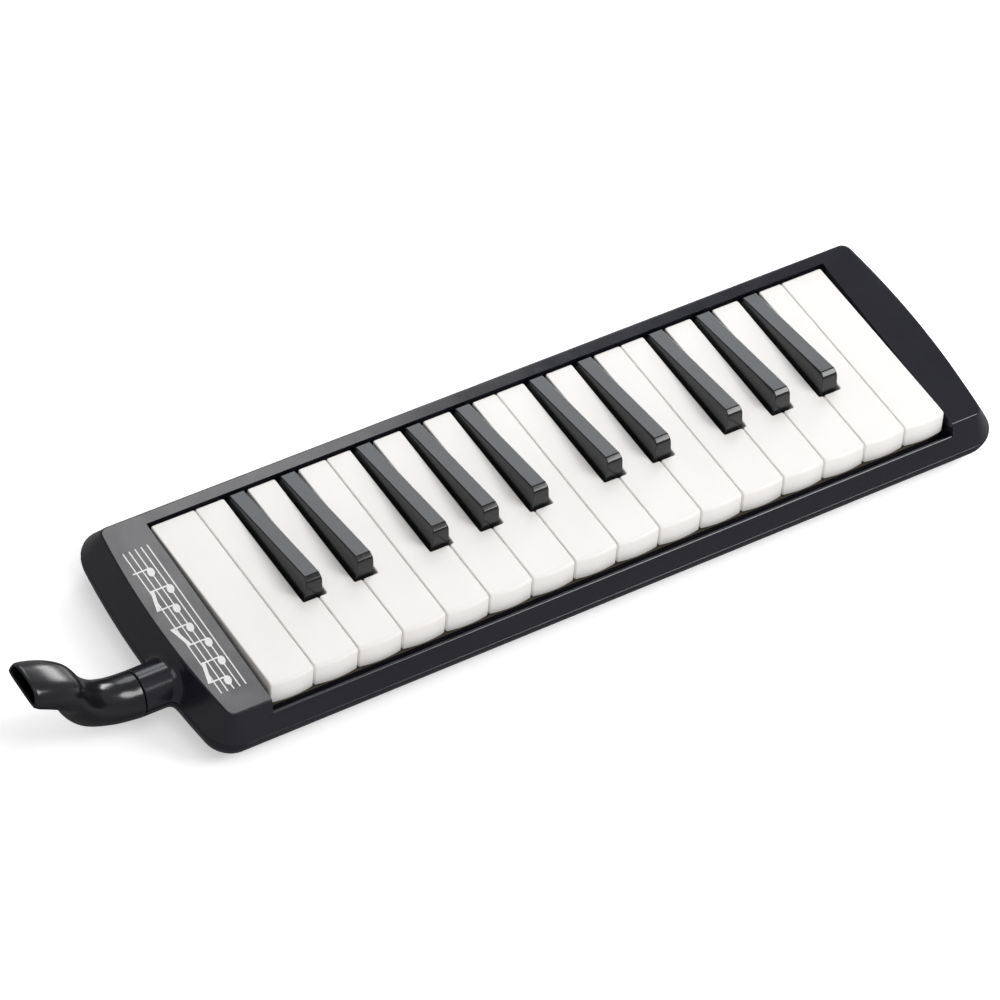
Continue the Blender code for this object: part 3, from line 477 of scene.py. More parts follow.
def case_outline(half_length, front, rear, corner, z, inset, shift):
    """Return the case's outline at one height: straight sides, arched ends, round corners."""
    half = (front + rear) / 2 - inset
    radius = END_ARC_RADIUS - inset
    corner = max(corner - inset, 0.6)
    arc_x = half_length - END_ARC_RADIUS
    fillet_y = half - corner
    fillet_x = arc_x + math.sqrt((radius - corner) ** 2 - fillet_y ** 2)
    lean = math.asin(fillet_y / (radius - corner))
    quarter = []
    for i in range(1, END_STEPS):
        angle = lean * i / END_STEPS
        quarter.append((arc_x + radius * math.cos(angle), radius * math.sin(angle)))
    for i in range(CORNER_STEPS + 1):
        angle = lean + (math.pi / 2 - lean) * i / CORNER_STEPS
        quarter.append((fillet_x + corner * math.cos(angle), fillet_y + corner * math.sin(angle)))
    right = [(x, -y) for x, y in reversed(quarter)] + [(arc_x + radius, 0.0)] + quarter
    left = [(-x, -y) for x, y in right]
    return [(x + shift, y + (rear - front) / 2, z) for x, y in right + left]


def side_at(z, inset=0.0, level=None):
    """Return the outline of the top cover's sloping wall at height z, placed at level."""
    t = (z - SPLIT_Z) / (CASE_TOP_Z - TOP_EDGE_BEVEL - SPLIT_Z)
    return case_outline(WIDE_HALF_LENGTH + t * (TOP_HALF_LENGTH - WIDE_HALF_LENGTH),
                        WIDE_FRONT_Y + t * (TOP_FRONT_Y - WIDE_FRONT_Y),
                        WIDE_REAR_Y + t * (TOP_REAR_Y - WIDE_REAR_Y),
                        WIDE_CORNER_RADIUS + t * (TOP_CORNER_RADIUS - WIDE_CORNER_RADIUS),
                        z if level is None else level, inset, (1 - t) * WIDE_SHIFT_X)


def dish_at(height, inset):
    """Return the outline of the bottom cover at one height."""
    return case_outline(WIDE_HALF_LENGTH, WIDE_FRONT_Y, WIDE_REAR_Y, WIDE_CORNER_RADIUS,
                        height, inset, WIDE_SHIFT_X)


def end_wall_x(y, z):
    """Return the x of the bass end's outer surface at a place on it."""
    t = (z - SPLIT_Z) / (CASE_TOP_Z - TOP_EDGE_BEVEL - SPLIT_Z)
    half_length = WIDE_HALF_LENGTH + t * (TOP_HALF_LENGTH - WIDE_HALF_LENGTH)
    front = WIDE_FRONT_Y + t * (TOP_FRONT_Y - WIDE_FRONT_Y)
    rear = WIDE_REAR_Y + t * (TOP_REAR_Y - WIDE_REAR_Y)
    inset, shift = 0.0, (1 - t) * WIDE_SHIFT_X
    if z < SPLIT_Z:
        half_length, front, rear, shift = WIDE_HALF_LENGTH, WIDE_FRONT_Y, WIDE_REAR_Y, WIDE_SHIFT_X
        inset = SPLIT_Z - math.sqrt(SPLIT_Z ** 2 - (SPLIT_Z - z) ** 2)
    across = y - (rear - front) / 2
    return shift - (half_length - END_ARC_RADIUS) - math.sqrt((END_ARC_RADIUS - inset) ** 2 - across ** 2)


def collar_half(low_z, high_z):
    """Make one cover's half of the inlet collar, which runs into the end wall in a round fillet."""
    wide = COLLAR_R + COLLAR_FILLET

    def ring(place):
        points = []
        for i in range(COLLAR_SEGMENTS):
            angle = 2 * math.pi * (i + 0.5) / COLLAR_SEGMENTS
            points.append(place(math.cos(angle), math.sin(angle)))
        return points

    def at_x(x, radius):
        return ring(lambda c, s: (x, INLET_Y + radius * c, INLET_Z + radius * s))

    def on_wall(radius, c, s):
        y, z = INLET_Y + radius * c, INLET_Z + radius * s
        return Vector((end_wall_x(y, z), y, z))

    def fillet_ring(t):
        def place(c, s):
            root, far = on_wall(COLLAR_R, c, s), on_wall(wide, c, s)
            near = root - Vector((COLLAR_FILLET, 0, 0))
            return near * (1 - t) ** 2 + root * 2 * t * (1 - t) + far * t * t
        return ring(place)

    loops = [at_x(RING_X + drop, COLLAR_R - inset) for inset, drop in reversed(round_over(0.5, 4))]
    loops += [fillet_ring(k / COLLAR_FILLET_STEPS) for k in range(COLLAR_FILLET_STEPS + 1)]
    # Inside the wall the fillet's foot closes in again to the collar's own radius.
    sunk, closing = 0.7, 0.8
    loops.append([(x + sunk, y, z) for x, y, z in loops[-1]])
    loops.append([(x + 0.5, INLET_Y + (y - INLET_Y) * closing, INLET_Z + (z - INLET_Z) * closing)
                  for x, y, z in loops[-1]])
    loops.append(at_x(COLLAR_END_X, COLLAR_R))
    collar = solid("collar", lambda bm: loft(bm, loops))
    keep = solid("keep", lambda bm: add_box(
        bm, (RING_X - 5, INLET_Y - 20, low_z), (COLLAR_END_X + 5, INLET_Y + 20, high_z)))
    cut(collar, [keep], "INTERSECT")
    return collar


def inlet_bore():
    """Make the round passage that the duct sits in."""
    reach = [(DUCT_R + GAP, RING_X - 2), (DUCT_R + GAP, COLLAR_END_X + 5)]
    return solid("bore", lambda bm: add_turned(bm, reach, (0.0, INLET_Y, INLET_Z), "X", 64))


def cover_bosses(low_z, high_z, high_z_front):
    """Make a screw boss at each case screw; the two at the front have their own top."""
    def shapes(bm):
        for x, y in SCREW_PLACES:
            top = high_z if abs(x) > CORNER_SCREW_X else high_z_front
            add_turned(bm, [(BOSS_R, low_z), (BOSS_R, top)], (x, y, 0.0), "Z", 24)
    return solid("bosses", shapes)


def screw_bores(profile_of):
    """Make the cutter of the screw holes from each place's (radius, height) steps."""
    def shapes(bm):
        for x, y in SCREW_PLACES:
            add_turned(bm, profile_of(abs(x) > CORNER_SCREW_X), (x, y, 0), "Z", 32)
    return solid("screw_bores", shapes)


def build_top_cover():
    """Make the upper shell with soft edges round its key opening and front rail."""
    bevel_z = CASE_TOP_Z - TOP_EDGE_BEVEL
    outer = [side_at(SPLIT_Z, 0.30), side_at(SPLIT_Z + 0.10, 0.08), side_at(SPLIT_Z + 0.35),
             side_at(SPLIT_Z + 5), side_at(SPLIT_Z + 10)]
    for inset, drop in round_over(TOP_EDGE_BEVEL, 5):
        outer.append(side_at(bevel_z, inset, CASE_TOP_Z - drop))
    inner = [side_at(SPLIT_Z, WALL), side_at(CASE_TOP_Z - WALL, WALL)]
    cover = solid("top_cover_shell", lambda bm: open_shell(bm, outer, inner), MATERIALS["case"])
    x0, x1 = KEYBOARD_X - OPENING_HALF_X, KEYBOARD_X + OPENING_HALF_X
    rear, top = OPENING_REAR_Y + WALL, CASE_TOP_Z - 1
    side = [(END_WALL_FRONT_Y, INNER_WALL_Z), (rear, INNER_WALL_Z), (rear, top), (-47.3, top)]
    under = LEDGE_Z - WALL
    ledge = [(LEDGE_ROOT_Y, under + 1), (END_WALL_FRONT_Y, under + 1), (END_WALL_FRONT_Y + 0.5, under),
             (LEDGE_REAR_Y, under), (LEDGE_REAR_Y, LEDGE_Z), (LEDGE_ROOT_Y, LEDGE_Z)]
    over, gutter_z = LIP_Z + 0.5, LIP_Z - GUTTER_DEPTH
    crest_inside = [(CREST_INSIDE_Y, over), (CREST_INSIDE_Y, LIP_Z), (CREST_INSIDE_Y + 0.5, LIP_Z - 0.1),
                    (OPENING_FRONT_Y, gutter_z), (OPENING_FRONT_Y + 1.0, gutter_z),
                    (OPENING_FRONT_Y + 1.0, over)]
    crest_outside = [(CREST_OUTSIDE_Y, LIP_Z), (CREST_OUTSIDE_Y, over), (-51.0, over), (-51.0, LIP_Z - 0.81)]
    walls = [solid("left", lambda bm: add_prism(bm, side, x0 - WALL, x0 + 1)),
             solid("right", lambda bm: add_prism(bm, side, x1 - 1, x1 + WALL)),
             solid("rear", lambda bm: add_box(
                 bm, (x0 - 1, OPENING_REAR_Y - 1, REAR_WALL_Z), (x1 + 1, rear, top))),
             solid("ledge", lambda bm: add_prism(bm, ledge, x0 - 1.5, x1 + 1.5))]
    cut(cover, walls, "UNION")
    openings = [solid("keys", lambda bm: add_box(
                    bm, (x0, OPENING_FRONT_Y, LEDGE_Z + 0.1), (x1, OPENING_REAR_Y, 40))),
                solid("front", lambda bm: add_box(bm, (x0, -60, LIP_Z), (x1, -40, 41)))]
    cut(cover, openings)
    soften(cover, 0.4, 3)
    cut(cover, [solid("crest", lambda bm, crest=crest: add_prism(bm, crest, x0 + 0.03, x1 - 0.03))
                for crest in (crest_inside, crest_outside)])
    join_z = BOSS_SPLIT_Z + GAP / 2
    cut(cover, [collar_half(SPLIT_Z + 0.15, 40.0), cover_bosses(join_z, top, LEDGE_Z - 0.5)], "UNION")
    cut(cover, [inlet_bore(), screw_bores(lambda corner: [
        (SCREW_R + 0.05, 0), (SCREW_R + 0.05, SCREW_TIP_Z + (1 if corner else GAP))])], smooth_angle=38.0)
    weigh_normals(cover)
    return finish_piece(cover, "case", "case", "top_cover")


def build_bottom_cover():
    """Make the rounded lower dish with its screw holes and drain hole."""
    top = SPLIT_Z - GAP
    inner_r = SPLIT_Z - FLOOR_WALL
    seam_edge = 0.6
    outer = [dish_at(top - drop, inset) for inset, drop in reversed(round_over(seam_edge, 4))]
    inner = [dish_at(top, WALL)]
    for i in range(1, DISH_STEPS + 1):
        angle = math.pi / 2 * i / DISH_STEPS
        height = SPLIT_Z * (1 - math.sin(angle))
        if height < top - seam_edge - 0.1:
            outer.append(dish_at(height, SPLIT_Z * (1 - math.cos(angle))))
        inner.append(dish_at(SPLIT_Z - inner_r * math.sin(angle), inner_r * (1 - math.cos(angle)) + WALL))
    cover = solid("bottom_cover_shell", lambda bm: open_shell(bm, outer, inner), MATERIALS["case"])
    join_z = BOSS_SPLIT_Z - GAP / 2
    cut(cover, [cover_bosses(1, join_z, join_z), collar_half(0.5, top)], "UNION")
    head, shank = SCREW_HEAD_R + GAP, SCREW_R + GAP
    holes = screw_bores(lambda corner: [(head + 0.3, -1), (head + 0.3, 0), (head, 0.35), (head, SCREW_SEAT_Z),
                                        (shank, SCREW_SEAT_Z), (shank, BOSS_SPLIT_Z + 2)])
    drain = solid("drain_hole", lambda bm: add_turned(
        bm, [(DRAIN_CAP_R + GAP, 178), (DRAIN_CAP_R + GAP, 195)], (0, DRAIN_Y, DRAIN_Z), "X", 32))
    cut(cover, [inlet_bore(), holes, drain], smooth_angle=38.0)
    weigh_normals(cover)
    return finish_piece(cover, "case", "case", "bottom_cover")


def build_case_screws():
    """Make the pan-head screws with a cross recess."""
    seat = SCREW_SEAT_Z - GAP
    low = seat - 2.0
    profile = [(0.6, low - 0.05), (SCREW_HEAD_R - 1.2, low), (SCREW_HEAD_R - 0.5, low + 0.25),
               (SCREW_HEAD_R - 0.1, low + 0.7), (SCREW_HEAD_R, low + 1.2), (SCREW_HEAD_R, seat),
               (SCREW_R, seat), (SCREW_R, SCREW_TIP_Z - 1.5), (0.5, SCREW_TIP_Z)]

    def arm(bm, half_x, half_y):
        loops = []
        for z, scale in ((low - 1, 1.0), (low + 0.2, 1.0), (low + 1.3, 0.6)):
            x, y = half_x * scale, half_y * scale
            loops.append([(-x, -y, z), (x, -y, z), (x, y, z), (-x, y, z)])
        loft(bm, loops)

    pattern = solid("case_screw_pattern", lambda bm: add_turned(bm, profile, (0, 0, 0), "Z", 32),
                    MATERIALS["screw"])
    cut(pattern, [solid("arm", lambda bm: arm(bm, SCREW_ARM_LENGTH, SCREW_ARM_HALF))])
    cut(pattern, [solid("arm", lambda bm: arm(bm, SCREW_ARM_HALF, SCREW_ARM_LENGTH))])
    for number, (x, y) in enumerate(SCREW_PLACES, 1):
        mesh = pattern.data.copy()
        mesh.transform(Matrix.Rotation(0.7 * number, 4, "Z"))
        mesh.transform(Matrix.Translation((x * MM, y * MM, 0)))
        screw = bpy.data.objects.new(f"case_screw_{number}_cross", mesh)
        bpy.context.scene.collection.objects.link(screw)
        finish_piece(screw, "case", "steel", f"case_screw_{number}")
    bpy.data.objects.remove(pattern, do_unlink=True)


def build_panel_print():
    """Print a plain five-line stave with a few round notes on the bass end panel."""
    def layer(bm, outline, lift):
        loft(bm, [[(x, y, z) for x, y in outline] for z in (PRINT_LEVEL, PRINT_LEVEL + PRINT_THICK + lift)])

    def shapes(bm):
        for line in range(-2, 3):
            x = STAVE_X + line * STAVE_SPACING
            add_box(bm, (x - LINE_HALF, STAVE_Y[0], PRINT_LEVEL),
                    (x + LINE_HALF, STAVE_Y[1], PRINT_LEVEL + PRINT_THICK))
        stems = []
        for y, step in NOTES:
            x = STAVE_X - step * STAVE_SPACING / 2
            head = []
            for i in range(28):
                angle = 2 * math.pi * i / 28
                along, across = HEAD_LONG * math.cos(angle), HEAD_WIDE * math.sin(angle)
                head.append((x - across * HEAD_TILT[0] + along * HEAD_TILT[1],
                             y + along * HEAD_TILT[0] + across * HEAD_TILT[1]))
            layer(bm, head, 0.02)
            stem_y, end_x = y + 1.75, x - STEM_LENGTH
            stems.append((stem_y, end_x))
            add_box(bm, (end_x, stem_y - STEM_HALF, PRINT_LEVEL),
                    (x, stem_y + STEM_HALF, PRINT_LEVEL + PRINT_THICK + 0.01))
        for first, second in BEAMS:
            (ya, xa), (yb, xb) = stems[first], stems[second]
            layer(bm, [(xa - BEAM_HALF, ya - STEM_HALF), (xa + BEAM_HALF, ya - STEM_HALF),
                       (xb + BEAM_HALF, yb + STEM_HALF), (xb - BEAM_HALF, yb + STEM_HALF)], 0.03)
    mark = solid("panel_stave_print", shapes, MATERIALS["print"])
    return finish_piece(mark, "case", "white_key")


# ---- keys ----------------------------------------------------------------

def keyboard_layout():
    """Return (name, is_black, middle x, notch edges, rib centre x) for the 26 keys."""
    keys = []
    for i, note in enumerate(WHITE_NOTES):
        left = KEYBOARD_X + (i - len(WHITE_NOTES) / 2) * PITCH
        letter, octave = note[0], note[1]
        right_note = letter in BLACK_OFFSETS and i < len(WHITE_NOTES) - 1
        left_letter = WHITE_NOTES[i - 1][0] if i else ""
        stem = [left + (PITCH - WHITE_WIDTH) / 2, left + (PITCH + WHITE_WIDTH) / 2]
        notches = [None, None]
        if left_letter in BLACK_OFFSETS:
            notches[0] = stem[0] = left + BLACK_OFFSETS[left_letter] + NOTCH_HALF
        if right_note:
            notches[1] = stem[1] = left + PITCH + BLACK_OFFSETS[letter] - NOTCH_HALF
        keys.append((f"key_{note}", False, left + PITCH / 2, notches, sum(stem) / 2))
        if right_note:
            middle = left + PITCH + BLACK_OFFSETS[letter]
            keys.append((f"key_{letter}s{octave}", True, middle, None, middle))
    return keys


def white_corners(middle, notches):
    """Return a white key's sharp outline, as (x, distance from the front), and each corner's radius."""
    half = WHITE_WIDTH / 2
    steps = 8
    points, radii = [], []
    for i in range(steps + 1):
        t = 2 * i / steps - 1
        points.append((middle + t * half, -FRONT_SAG * (1 - t * t)))
        radii.append(FRONT_CORNER if i in (0, steps) else 0)
    points += [(middle + half, y) for y in (FRONT_SOFT_END, SKIRT_END, SKIRT_END + SKIRT_RUN)]
    radii += [0, 0, 0]
    if notches[1] is not None:
        points += [(middle + half, NOTCH_FRONT), (notches[1], NOTCH_FRONT)]
        radii += [CORNER, NOTCH_CORNER]
    points += [(notches[1] or middle + half, WHITE_LENGTH), (notches[0] or middle - half, WHITE_LENGTH)]
    radii += [CORNER, CORNER]
    if notches[0] is not None:
        points += [(notches[0], NOTCH_FRONT), (middle - half, NOTCH_FRONT)]
        radii += [NOTCH_CORNER, CORNER]
    points += [(middle - half, y) for y in (SKIRT_END + SKIRT_RUN, SKIRT_END, FRONT_SOFT_END)]
    radii += [0, 0, 0]
    return points, radii


def key_underside(distance):
    """Return the height of a white key's lower edge at a distance from its front."""
    t = min(max((distance - SKIRT_END) / SKIRT_RUN, 0), 1)
    return KEY_TOP - FRONT_DEPTH + t * (FRONT_DEPTH - REAR_DEPTH)


def front_share(edge, run):
    """Return 1 at a key's front edge, falling evenly to 0 over a run."""
    return min(max(1 - edge / run, 0), 1)


def white_key_shell(bm, middle, notches, centre):
    """Fill a bmesh with a white key's moulded shell, round-edged and open underneath."""
    sharp, radii = white_corners(middle, notches)
    outline = fillet(sharp, radii)
    inner = fillet(offset_outline(sharp, KEY_WALL), [0.3 if radius else 0 for radius in radii])

    def ring(points, height):
        result = []
        for (x, s), (_, edge) in zip(points, outline):
            z = key_underside(edge) + height if height < KEY_TOP / 2 else height
            depth = (KEY_TOP - z) / FRONT_DEPTH
            shift = FRONT_LEAN * depth * front_share(edge, LEAN_RUN)
            result.append((x - centre, s - shift - FRONT_REACH, z))
        return result

    def soft_ring(inset, drop):
        points = []
        for (x, s), (_, edge) in zip(offset_outline(outline, inset), outline):
            more = front_share(edge, FRONT_SOFT_END) * (FRONT_EDGE_RADIUS / EDGE_RADIUS - 1)
            lean = FRONT_LEAN * drop * (1 + more) / FRONT_DEPTH * front_share(edge, LEAN_RUN)
            points.append((x - centre, s + inset * more - lean - FRONT_REACH, KEY_TOP - drop * (1 + more)))
        return points

    outer = [ring(offset_outline(outline, 0.25), 0.0), ring(outline, 0.25)]
    outer += [soft_ring(inset, drop) for inset, drop in round_over(EDGE_RADIUS, 6)]
    inside = [ring(inner, 0.0), ring(inner, KEY_TOP - KEY_TOP_WALL)]
    open_shell(bm, outer, inside)


def black_key_body(bm):
    """Fill a bmesh with a black key's wedge, which falls to the white keys' level at the rear."""
    def ring(front, rear, half, z_front, z_rear):
        corners = ((-half, front, z_front), (half, front, z_front),
                   (half, rear, z_rear), (-half, rear, z_rear))
        return [(x, distance - FRONT_REACH, z) for x, distance, z in corners]

    low, top, tall = KEY_TOP - REAR_DEPTH, KEY_TOP, KEY_TOP + BLACK_HEIGHT
    # The last three rings make the bevel over the front face.
    loft(bm, [ring(BLACK_FRONT - 0.4, BLACK_REAR, BLACK_HALF, low, low),
              ring(BLACK_FRONT, BLACK_REAR, BLACK_HALF, top, top - 1.0),
              ring(BLACK_FRONT + 1.3, BLACK_REAR, BLACK_TOP_HALF + 0.4, tall - 2.4, top + 0.2),
              ring(BLACK_FRONT + 1.9, BLACK_REAR - 0.1, BLACK_TOP_HALF + 0.2, tall - 1.15, top + 0.5),
              ring(BLACK_FRONT + 3.9, BLACK_REAR - 0.4, BLACK_TOP_HALF, tall, top + 1.0)])


def foot_height(y):
    """Return the height, in a key's own frame, of its foot that rests level on the pad."""
    tilt = math.radians(REST_TILT)
    level = CHAMBER_TOP_Z + PAD_THICK - AXLE_Z
    return (level + y * math.sin(tilt)) / math.cos(tilt)


def rib_profile():
    """Return the (y, z) outline of a key's rib: its spring nose, axle hook and pad foot."""
    rear, front = PAD_Y[1] - AXLE_Y, PAD_Y[0] - AXLE_Y
    hook = []
    for i in range(13):
        angle = math.pi * i / 12
        hook.append((HOOK_RADIUS * math.cos(angle), HOOK_RADIUS * math.sin(angle)))
    top = KEY_TOP - KEY_TOP_WALL / 2
    nose = KEY_TOP - REAR_DEPTH + 0.1
    return ([(-NOSE_REACH, top), (-NOSE_REACH, nose), (-HOOK_OUTER, nose), (-HOOK_OUTER, HOOK_LOW_Z),
             (-HOOK_RADIUS, HOOK_LOW_Z)] + hook[::-1]
            + [(HOOK_RADIUS, HOOK_LOW_Z), (HOOK_OUTER, HOOK_LOW_Z), (HOOK_OUTER, nose), (front - 2, nose),
               (front, foot_height(front)), (rear, foot_height(rear)), (rear, top)])


def build_key(key):
    """Make one key with rounded edges, its rib and hook, in its rest place."""
    name, is_black, middle, notches, centre = key
    material = MATERIALS["black" if is_black else "white"]
    if is_black:
        body = solid(name + "_body", black_key_body, material)
        soften(body, 0.38, 3, 20.0)
    else:
        body = solid(name + "_body", lambda bm: white_key_shell(bm, middle, notches, centre), material, 50.0)
    rib = solid("rib", lambda bm: add_prism(bm, rib_profile(), -RIB_HALF, RIB_HALF))
    cut(body, [rib], "UNION", 50.0)
    place = Matrix.Translation((centre * MM, AXLE_Y * MM, AXLE_Z * MM))
    body.data.transform(place @ Matrix.Rotation(math.radians(-REST_TILT), 4, "X"))
    weigh_normals(body)
    return finish_piece(body, name, "black_key" if is_black else "white_key", name)


def build_pad(key, width):
    """Make the two-layer pad that closes a key's hole, glued under the key's foot."""
    name, _, _, _, centre = key
    half = width / 2
    y0, y1 = PAD_Y[0] + 0.3, PAD_Y[1] - 0.3
    sharp = [(centre - half, y0), (centre + half, y0), (centre + half, y1), (centre - half, y1)]
    outline = fillet(sharp, [1.2] * 4, 5)
    low, high = CHAMBER_TOP_Z + 0.02, CHAMBER_TOP_Z + PAD_THICK - 0.02

    def shapes(bm):
        levels = [(0.35, low), (0.08, low + 0.2), (0.0, low + 0.5), (0.04, low + 1.05), (0.22, low + 1.25),
                  (0.02, low + 1.45), (0.0, low + 1.8), (0.08, high - 0.15), (0.3, high)]
        loft(bm, [[(x, y, z) for x, y in offset_outline(outline, inset)] for inset, z in levels])
    pad = solid(name + "_pad", shapes, MATERIALS["pad"])
    return finish_piece(pad, name, "felt")


def build_keys():
    """Make every key and its pad."""
    keys = keyboard_layout()
    centres = sorted(key[-1] for key in keys)
    width = min(8.0, min(b - a for a, b in zip(centres, centres[1:])) - 0.8)
    for key in keys:
        build_key(key)
        build_pad(key, width)
    return keys


def build_reeds(keys):
    """Make the riveted brass tongues under the reed plate's slots."""
    def shapes(bm):
        for i, key in enumerate(keys):
            x, rear, z = key[-1], REED_REAR_Y, REED_Z
            front = rear - (REED_LONGEST - REED_SPREAD * i / (len(keys) - 1))
            sections = ((front - 4.0, 1.9, 0.32), (front - 0.5, 1.9, 0.32), (front + 0.5, 1.25, 0.26),
                        ((front + rear) / 2, 1.2, 0.18), (rear - 0.5, 1.15, 0.22))
            loops = []
            for y, half, thick in sections:
                lift = 0.0 if y < front else -0.25 * (y - front) / (rear - front)
                loops.append([(x - half, y, z + lift - thick), (x + half, y, z + lift - thick),
                              (x + half, y, z + lift - 0.02), (x - half, y, z + lift - 0.02)])
            loft(bm, loops)
            add_turned(bm, [(0.5, z - 0.62), (0.85, z - 0.52), (0.95, z - 0.3)], (x, front - 2.2, 0), "Z", 12)
    reeds = solid("reed_tongues", shapes, MATERIALS["brass"])
    return finish_piece(reeds, "case", "brass")


# ---- mouthpiece and drain ------------------------------------------------

def smooth_sections():
    """Interpolate the mouthpiece's stations by a Catmull-Rom curve."""
    stations = MOUTH_SECTIONS
    result = []
    for i in range(len(stations) - 1):
        a, b = stations[max(i - 1, 0)], stations[i]
        c, d = stations[i + 1], stations[min(i + 2, len(stations) - 1)]
        for k in range(MOUTH_STEPS):
            t = k / MOUTH_STEPS
            row = []
            for p, q, r, s in zip(a, b, c, d):
                row.append(0.5 * (2 * q + (r - p) * t + (2 * p - 5 * q + 4 * r - s) * t * t
                                  + (3 * q - p - 3 * r + s) * t ** 3))
            result.append((i + t, row))
    result.append((len(stations) - 1.0, list(stations[-1])))
    return result


def mouth_ring(station, section, wall, push=0.0):
    """Return one ring of points: round at the tube, and flat below with an arched top at the lips."""
    reach, rise, turn, half_y, half_z, _ = section
    turn = math.radians(turn)
    flat = min(max((station - LIPS_STATION) / LIPS_RUN, 0.0), 1.0)
    flat = flat * flat * (3 - 2 * flat)
    ring = []
    for i in range(MOUTH_SEGMENTS):
        angle = 2 * math.pi * (i + 0.5) / MOUTH_SEGMENTS
        c, s = math.cos(angle), math.sin(angle)
        width, height = half_y - wall, half_z - wall
        power = 1.0 - 0.35 * flat
        across = width * math.copysign(abs(c) ** power, c)
        round_up = height * s
        arch = (1 + SOLE) * abs(s) ** 0.8 if s > 0 else (SOLE - 1) * abs(s) ** 0.6
        up = round_up + flat * (height * (arch - SOLE) - round_up)
        ring.append((RING_X - GAP - reach + up * math.sin(turn) - push, INLET_Y + across,
                     INLET_Z + rise + up * math.cos(turn)))
    return ring


def round_ring(x, radius):
    """Return a ring of the mouthpiece's straight spigot."""
    ring = []
    for i in range(MOUTH_SEGMENTS):
        angle = 2 * math.pi * (i + 0.5) / MOUTH_SEGMENTS
        ring.append((x, INLET_Y + radius * math.cos(angle), INLET_Z + radius * math.sin(angle)))
    return ring


def build_mouthpiece():
    """Make the S-shaped mouthpiece: a spigot, a bent tube and a flat slotted tip with rolled lips."""
    start_x, ring_x = RING_X + SPIGOT_LENGTH, RING_X - GAP
    outer = [round_ring(start_x, SPIGOT_R - 0.5), round_ring(start_x - 0.4, SPIGOT_R - 0.15),
             round_ring(start_x - 1.2, SPIGOT_R), round_ring(ring_x, SPIGOT_R)]
    inner = [round_ring(start_x, BORE_R + 0.3), round_ring(start_x - 0.4, BORE_R),
             round_ring(ring_x, BORE_R)]
    for inset, drop in reversed(round_over(0.5, 4)):
        outer.append(round_ring(ring_x - drop, COLLAR_R - inset))
    rows = smooth_sections()
    for station, section in rows[MOUTH_STEPS // 2:]:
        outer.append(mouth_ring(station, section, 0.0))
        inner.append(mouth_ring(station, section, section[-1]))
    station, section = rows[-1]
    wall = section[-1]
    for k in range(1, 8):
        angle = math.pi * k / 8
        outer.append(mouth_ring(station, section, wall / 2 * (1 - math.cos(angle)),
                                wall / 2 * math.sin(angle)))

    def tube(bm):
        outside = loft(bm, outer, cap_first=False, cap_last=False)
        inside = loft(bm, inner, cap_first=False, cap_last=False)
        for end in (0, -1):
            for i in range(MOUTH_SEGMENTS):
                j = (i + 1) % MOUTH_SEGMENTS
                bm.faces.new((outside[end][i], outside[end][j], inside[end][j], inside[end][i]))
    pipe = solid("mouthpiece_shell", tube, MATERIALS["pipe"], 50.0)
    return finish_piece(pipe, "mouthpiece", "pipe", "mouthpiece")


def build_drain():
    """Make the drain button with a domed, ringed face, and the coil spring behind its flange."""
    low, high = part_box("drain_button")
    x0, x1 = low.x / MM, high.x / MM
    centre = (0, DRAIN_Y, DRAIN_Z)
    near, far = DRAIN_FLANGE_X
    profile = [(DRAIN_STEM_R - 0.3, x0), (DRAIN_STEM_R, x0 + 0.3), (DRAIN_STEM_R, near),
               (DRAIN_FLANGE_R - 0.2, near), (DRAIN_FLANGE_R, near + 0.2), (DRAIN_FLANGE_R, far - 0.2),
               (DRAIN_FLANGE_R - 0.2, far), (DRAIN_CAP_R, far), (DRAIN_CAP_R, x1 - 0.9), (3.15, x1 - 0.4),
               (2.7, x1 - 0.1), (2.3, x1 - 0.1), (2.1, x1 - 0.35), (1.9, x1 - 0.1), (1.2, x1)]
    button = solid("drain_button_domed", lambda bm: add_turned(bm, profile, centre, "X", 40),
                   MATERIALS["pipe"])
    finish_piece(button, "drain", "pipe", "drain_button")
    steps = 20
    path = []
    for i in range(SPRING_TURNS * steps + 1):
        angle = 2 * math.pi * i / steps
        x = SPRING_X[0] + (SPRING_X[1] - SPRING_X[0]) * i / (SPRING_TURNS * steps)
        path.append((x, DRAIN_Y + SPRING_R * math.cos(angle), DRAIN_Z + SPRING_R * math.sin(angle)))
    spring = solid("drain_spring", lambda bm: tube_along(bm, path, SPRING_WIRE_R), MATERIALS["steel"])
    finish_piece(spring, "case", "steel")
    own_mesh(spring)


# ---- set -----------------------------------------------------------------

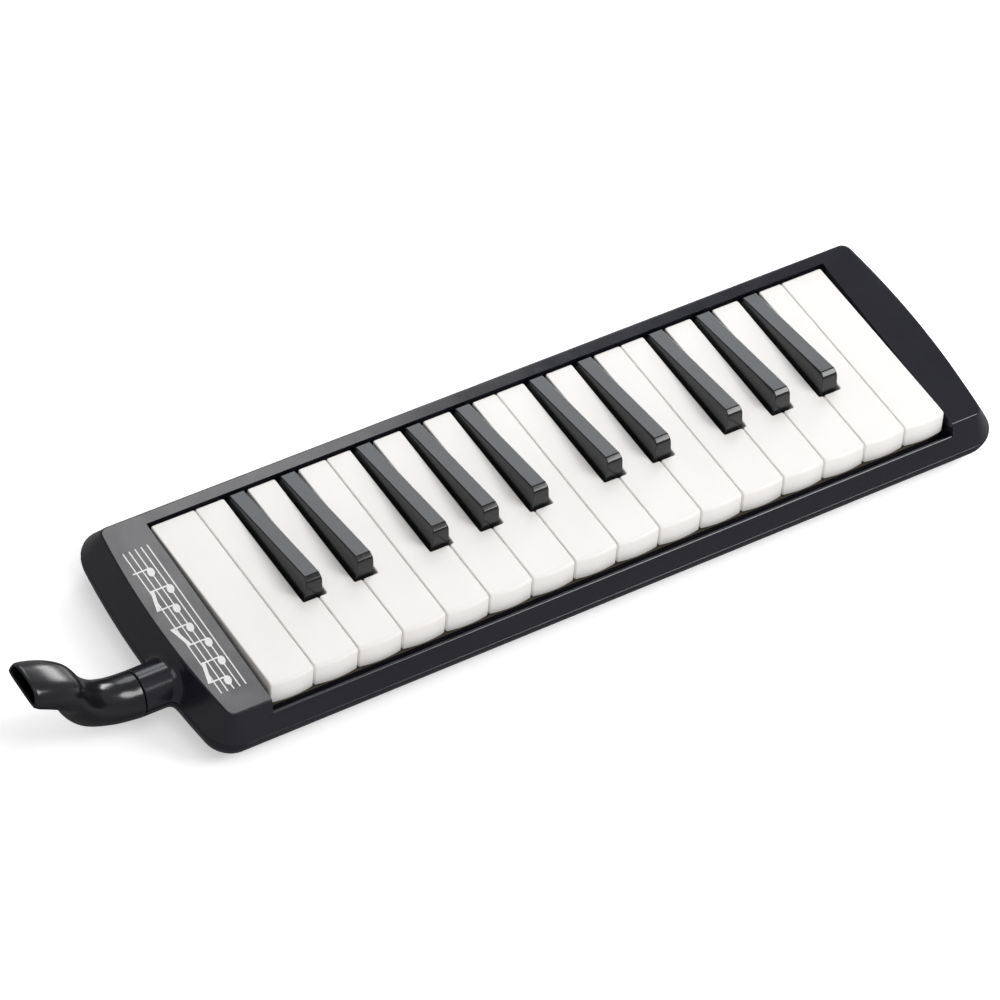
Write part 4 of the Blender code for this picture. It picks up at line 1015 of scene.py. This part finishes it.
def build_floor():
    """Lay a plain pale floor under the case."""
    def plane(bm):
        half, level = 4000.0, -0.05
        corners = ((-1, -1), (1, -1), (1, 1), (-1, 1))
        bm.faces.new([bm.verts.new((x * half, y * half, level)) for x, y in corners])
    material, tree, shader = new_material("pale_floor", (0.93, 0.93, 0.93), 0.6)
    tint(tree, shader, spread(tree, noise(tree, 6.0), 0.0, 1.0), (0.925, 0.925, 0.925), (0.935, 0.935, 0.935))
    shader.inputs["Emission Color"].default_value = (1.0, 1.0, 1.0, 1.0)
    shader.inputs["Emission Strength"].default_value = 0.45
    floor = solid("floor", plane, material)
    floor.visible_glossy = False


def add_light(name, place, target, size, power, colour=(1.0, 1.0, 1.0)):
    """Add a rectangular soft light that looks at a target."""
    lamp = bpy.data.lights.new(name, "AREA")
    lamp.shape = "RECTANGLE"
    lamp.size, lamp.size_y = size
    lamp.energy = power
    lamp.color = colour
    thing = bpy.data.objects.new(name, lamp)
    thing.location = place
    aim = Vector(target) - Vector(place)
    thing.rotation_euler = aim.to_track_quat("-Z", "Y").to_euler()
    bpy.context.scene.collection.objects.link(thing)


def build_set():
    """Set up the floor, the soft lights, the world and the camera."""
    build_floor()
    world = bpy.data.worlds.new("studio")
    world.use_nodes = True
    tree = world.node_tree
    background = tree.nodes["Background"]
    background.inputs["Color"].default_value = (0.98, 0.975, 0.98, 1.0)
    direction = tree.nodes.new("ShaderNodeTexCoord")
    height = tree.nodes.new("ShaderNodeSeparateXYZ")
    tree.links.new(direction.outputs["Generated"], height.inputs["Vector"])
    # The room is dimmer far below the horizon, which is what the low walls mirror.
    glow = spread(tree, height.outputs["Z"], 0.10, 0.38, (-0.75, -0.35))
    tree.links.new(glow, background.inputs["Strength"])
    bpy.context.scene.world = world
    for light in LIGHTS:
        add_light(*light)
    camera = bpy.data.cameras.new("camera")
    camera.lens = CAMERA_LENS
    camera.sensor_width = 36.0
    camera.clip_end = 20.0
    thing = bpy.data.objects.new("camera", camera)
    thing.location = CAMERA_PLACE
    thing.rotation_euler = [math.radians(angle) for angle in CAMERA_TURN]
    bpy.context.scene.collection.objects.link(thing)
    bpy.context.scene.camera = thing
    bpy.context.scene.view_settings.view_transform = "Standard"


def build_all():
    """Build every refined piece."""
    dress_frame()
    build_top_cover()
    build_bottom_cover()
    build_case_screws()
    build_panel_print()
    keys = build_keys()
    build_reeds(keys)
    build_mouthpiece()
    build_drain()
    build_set()


build_all()
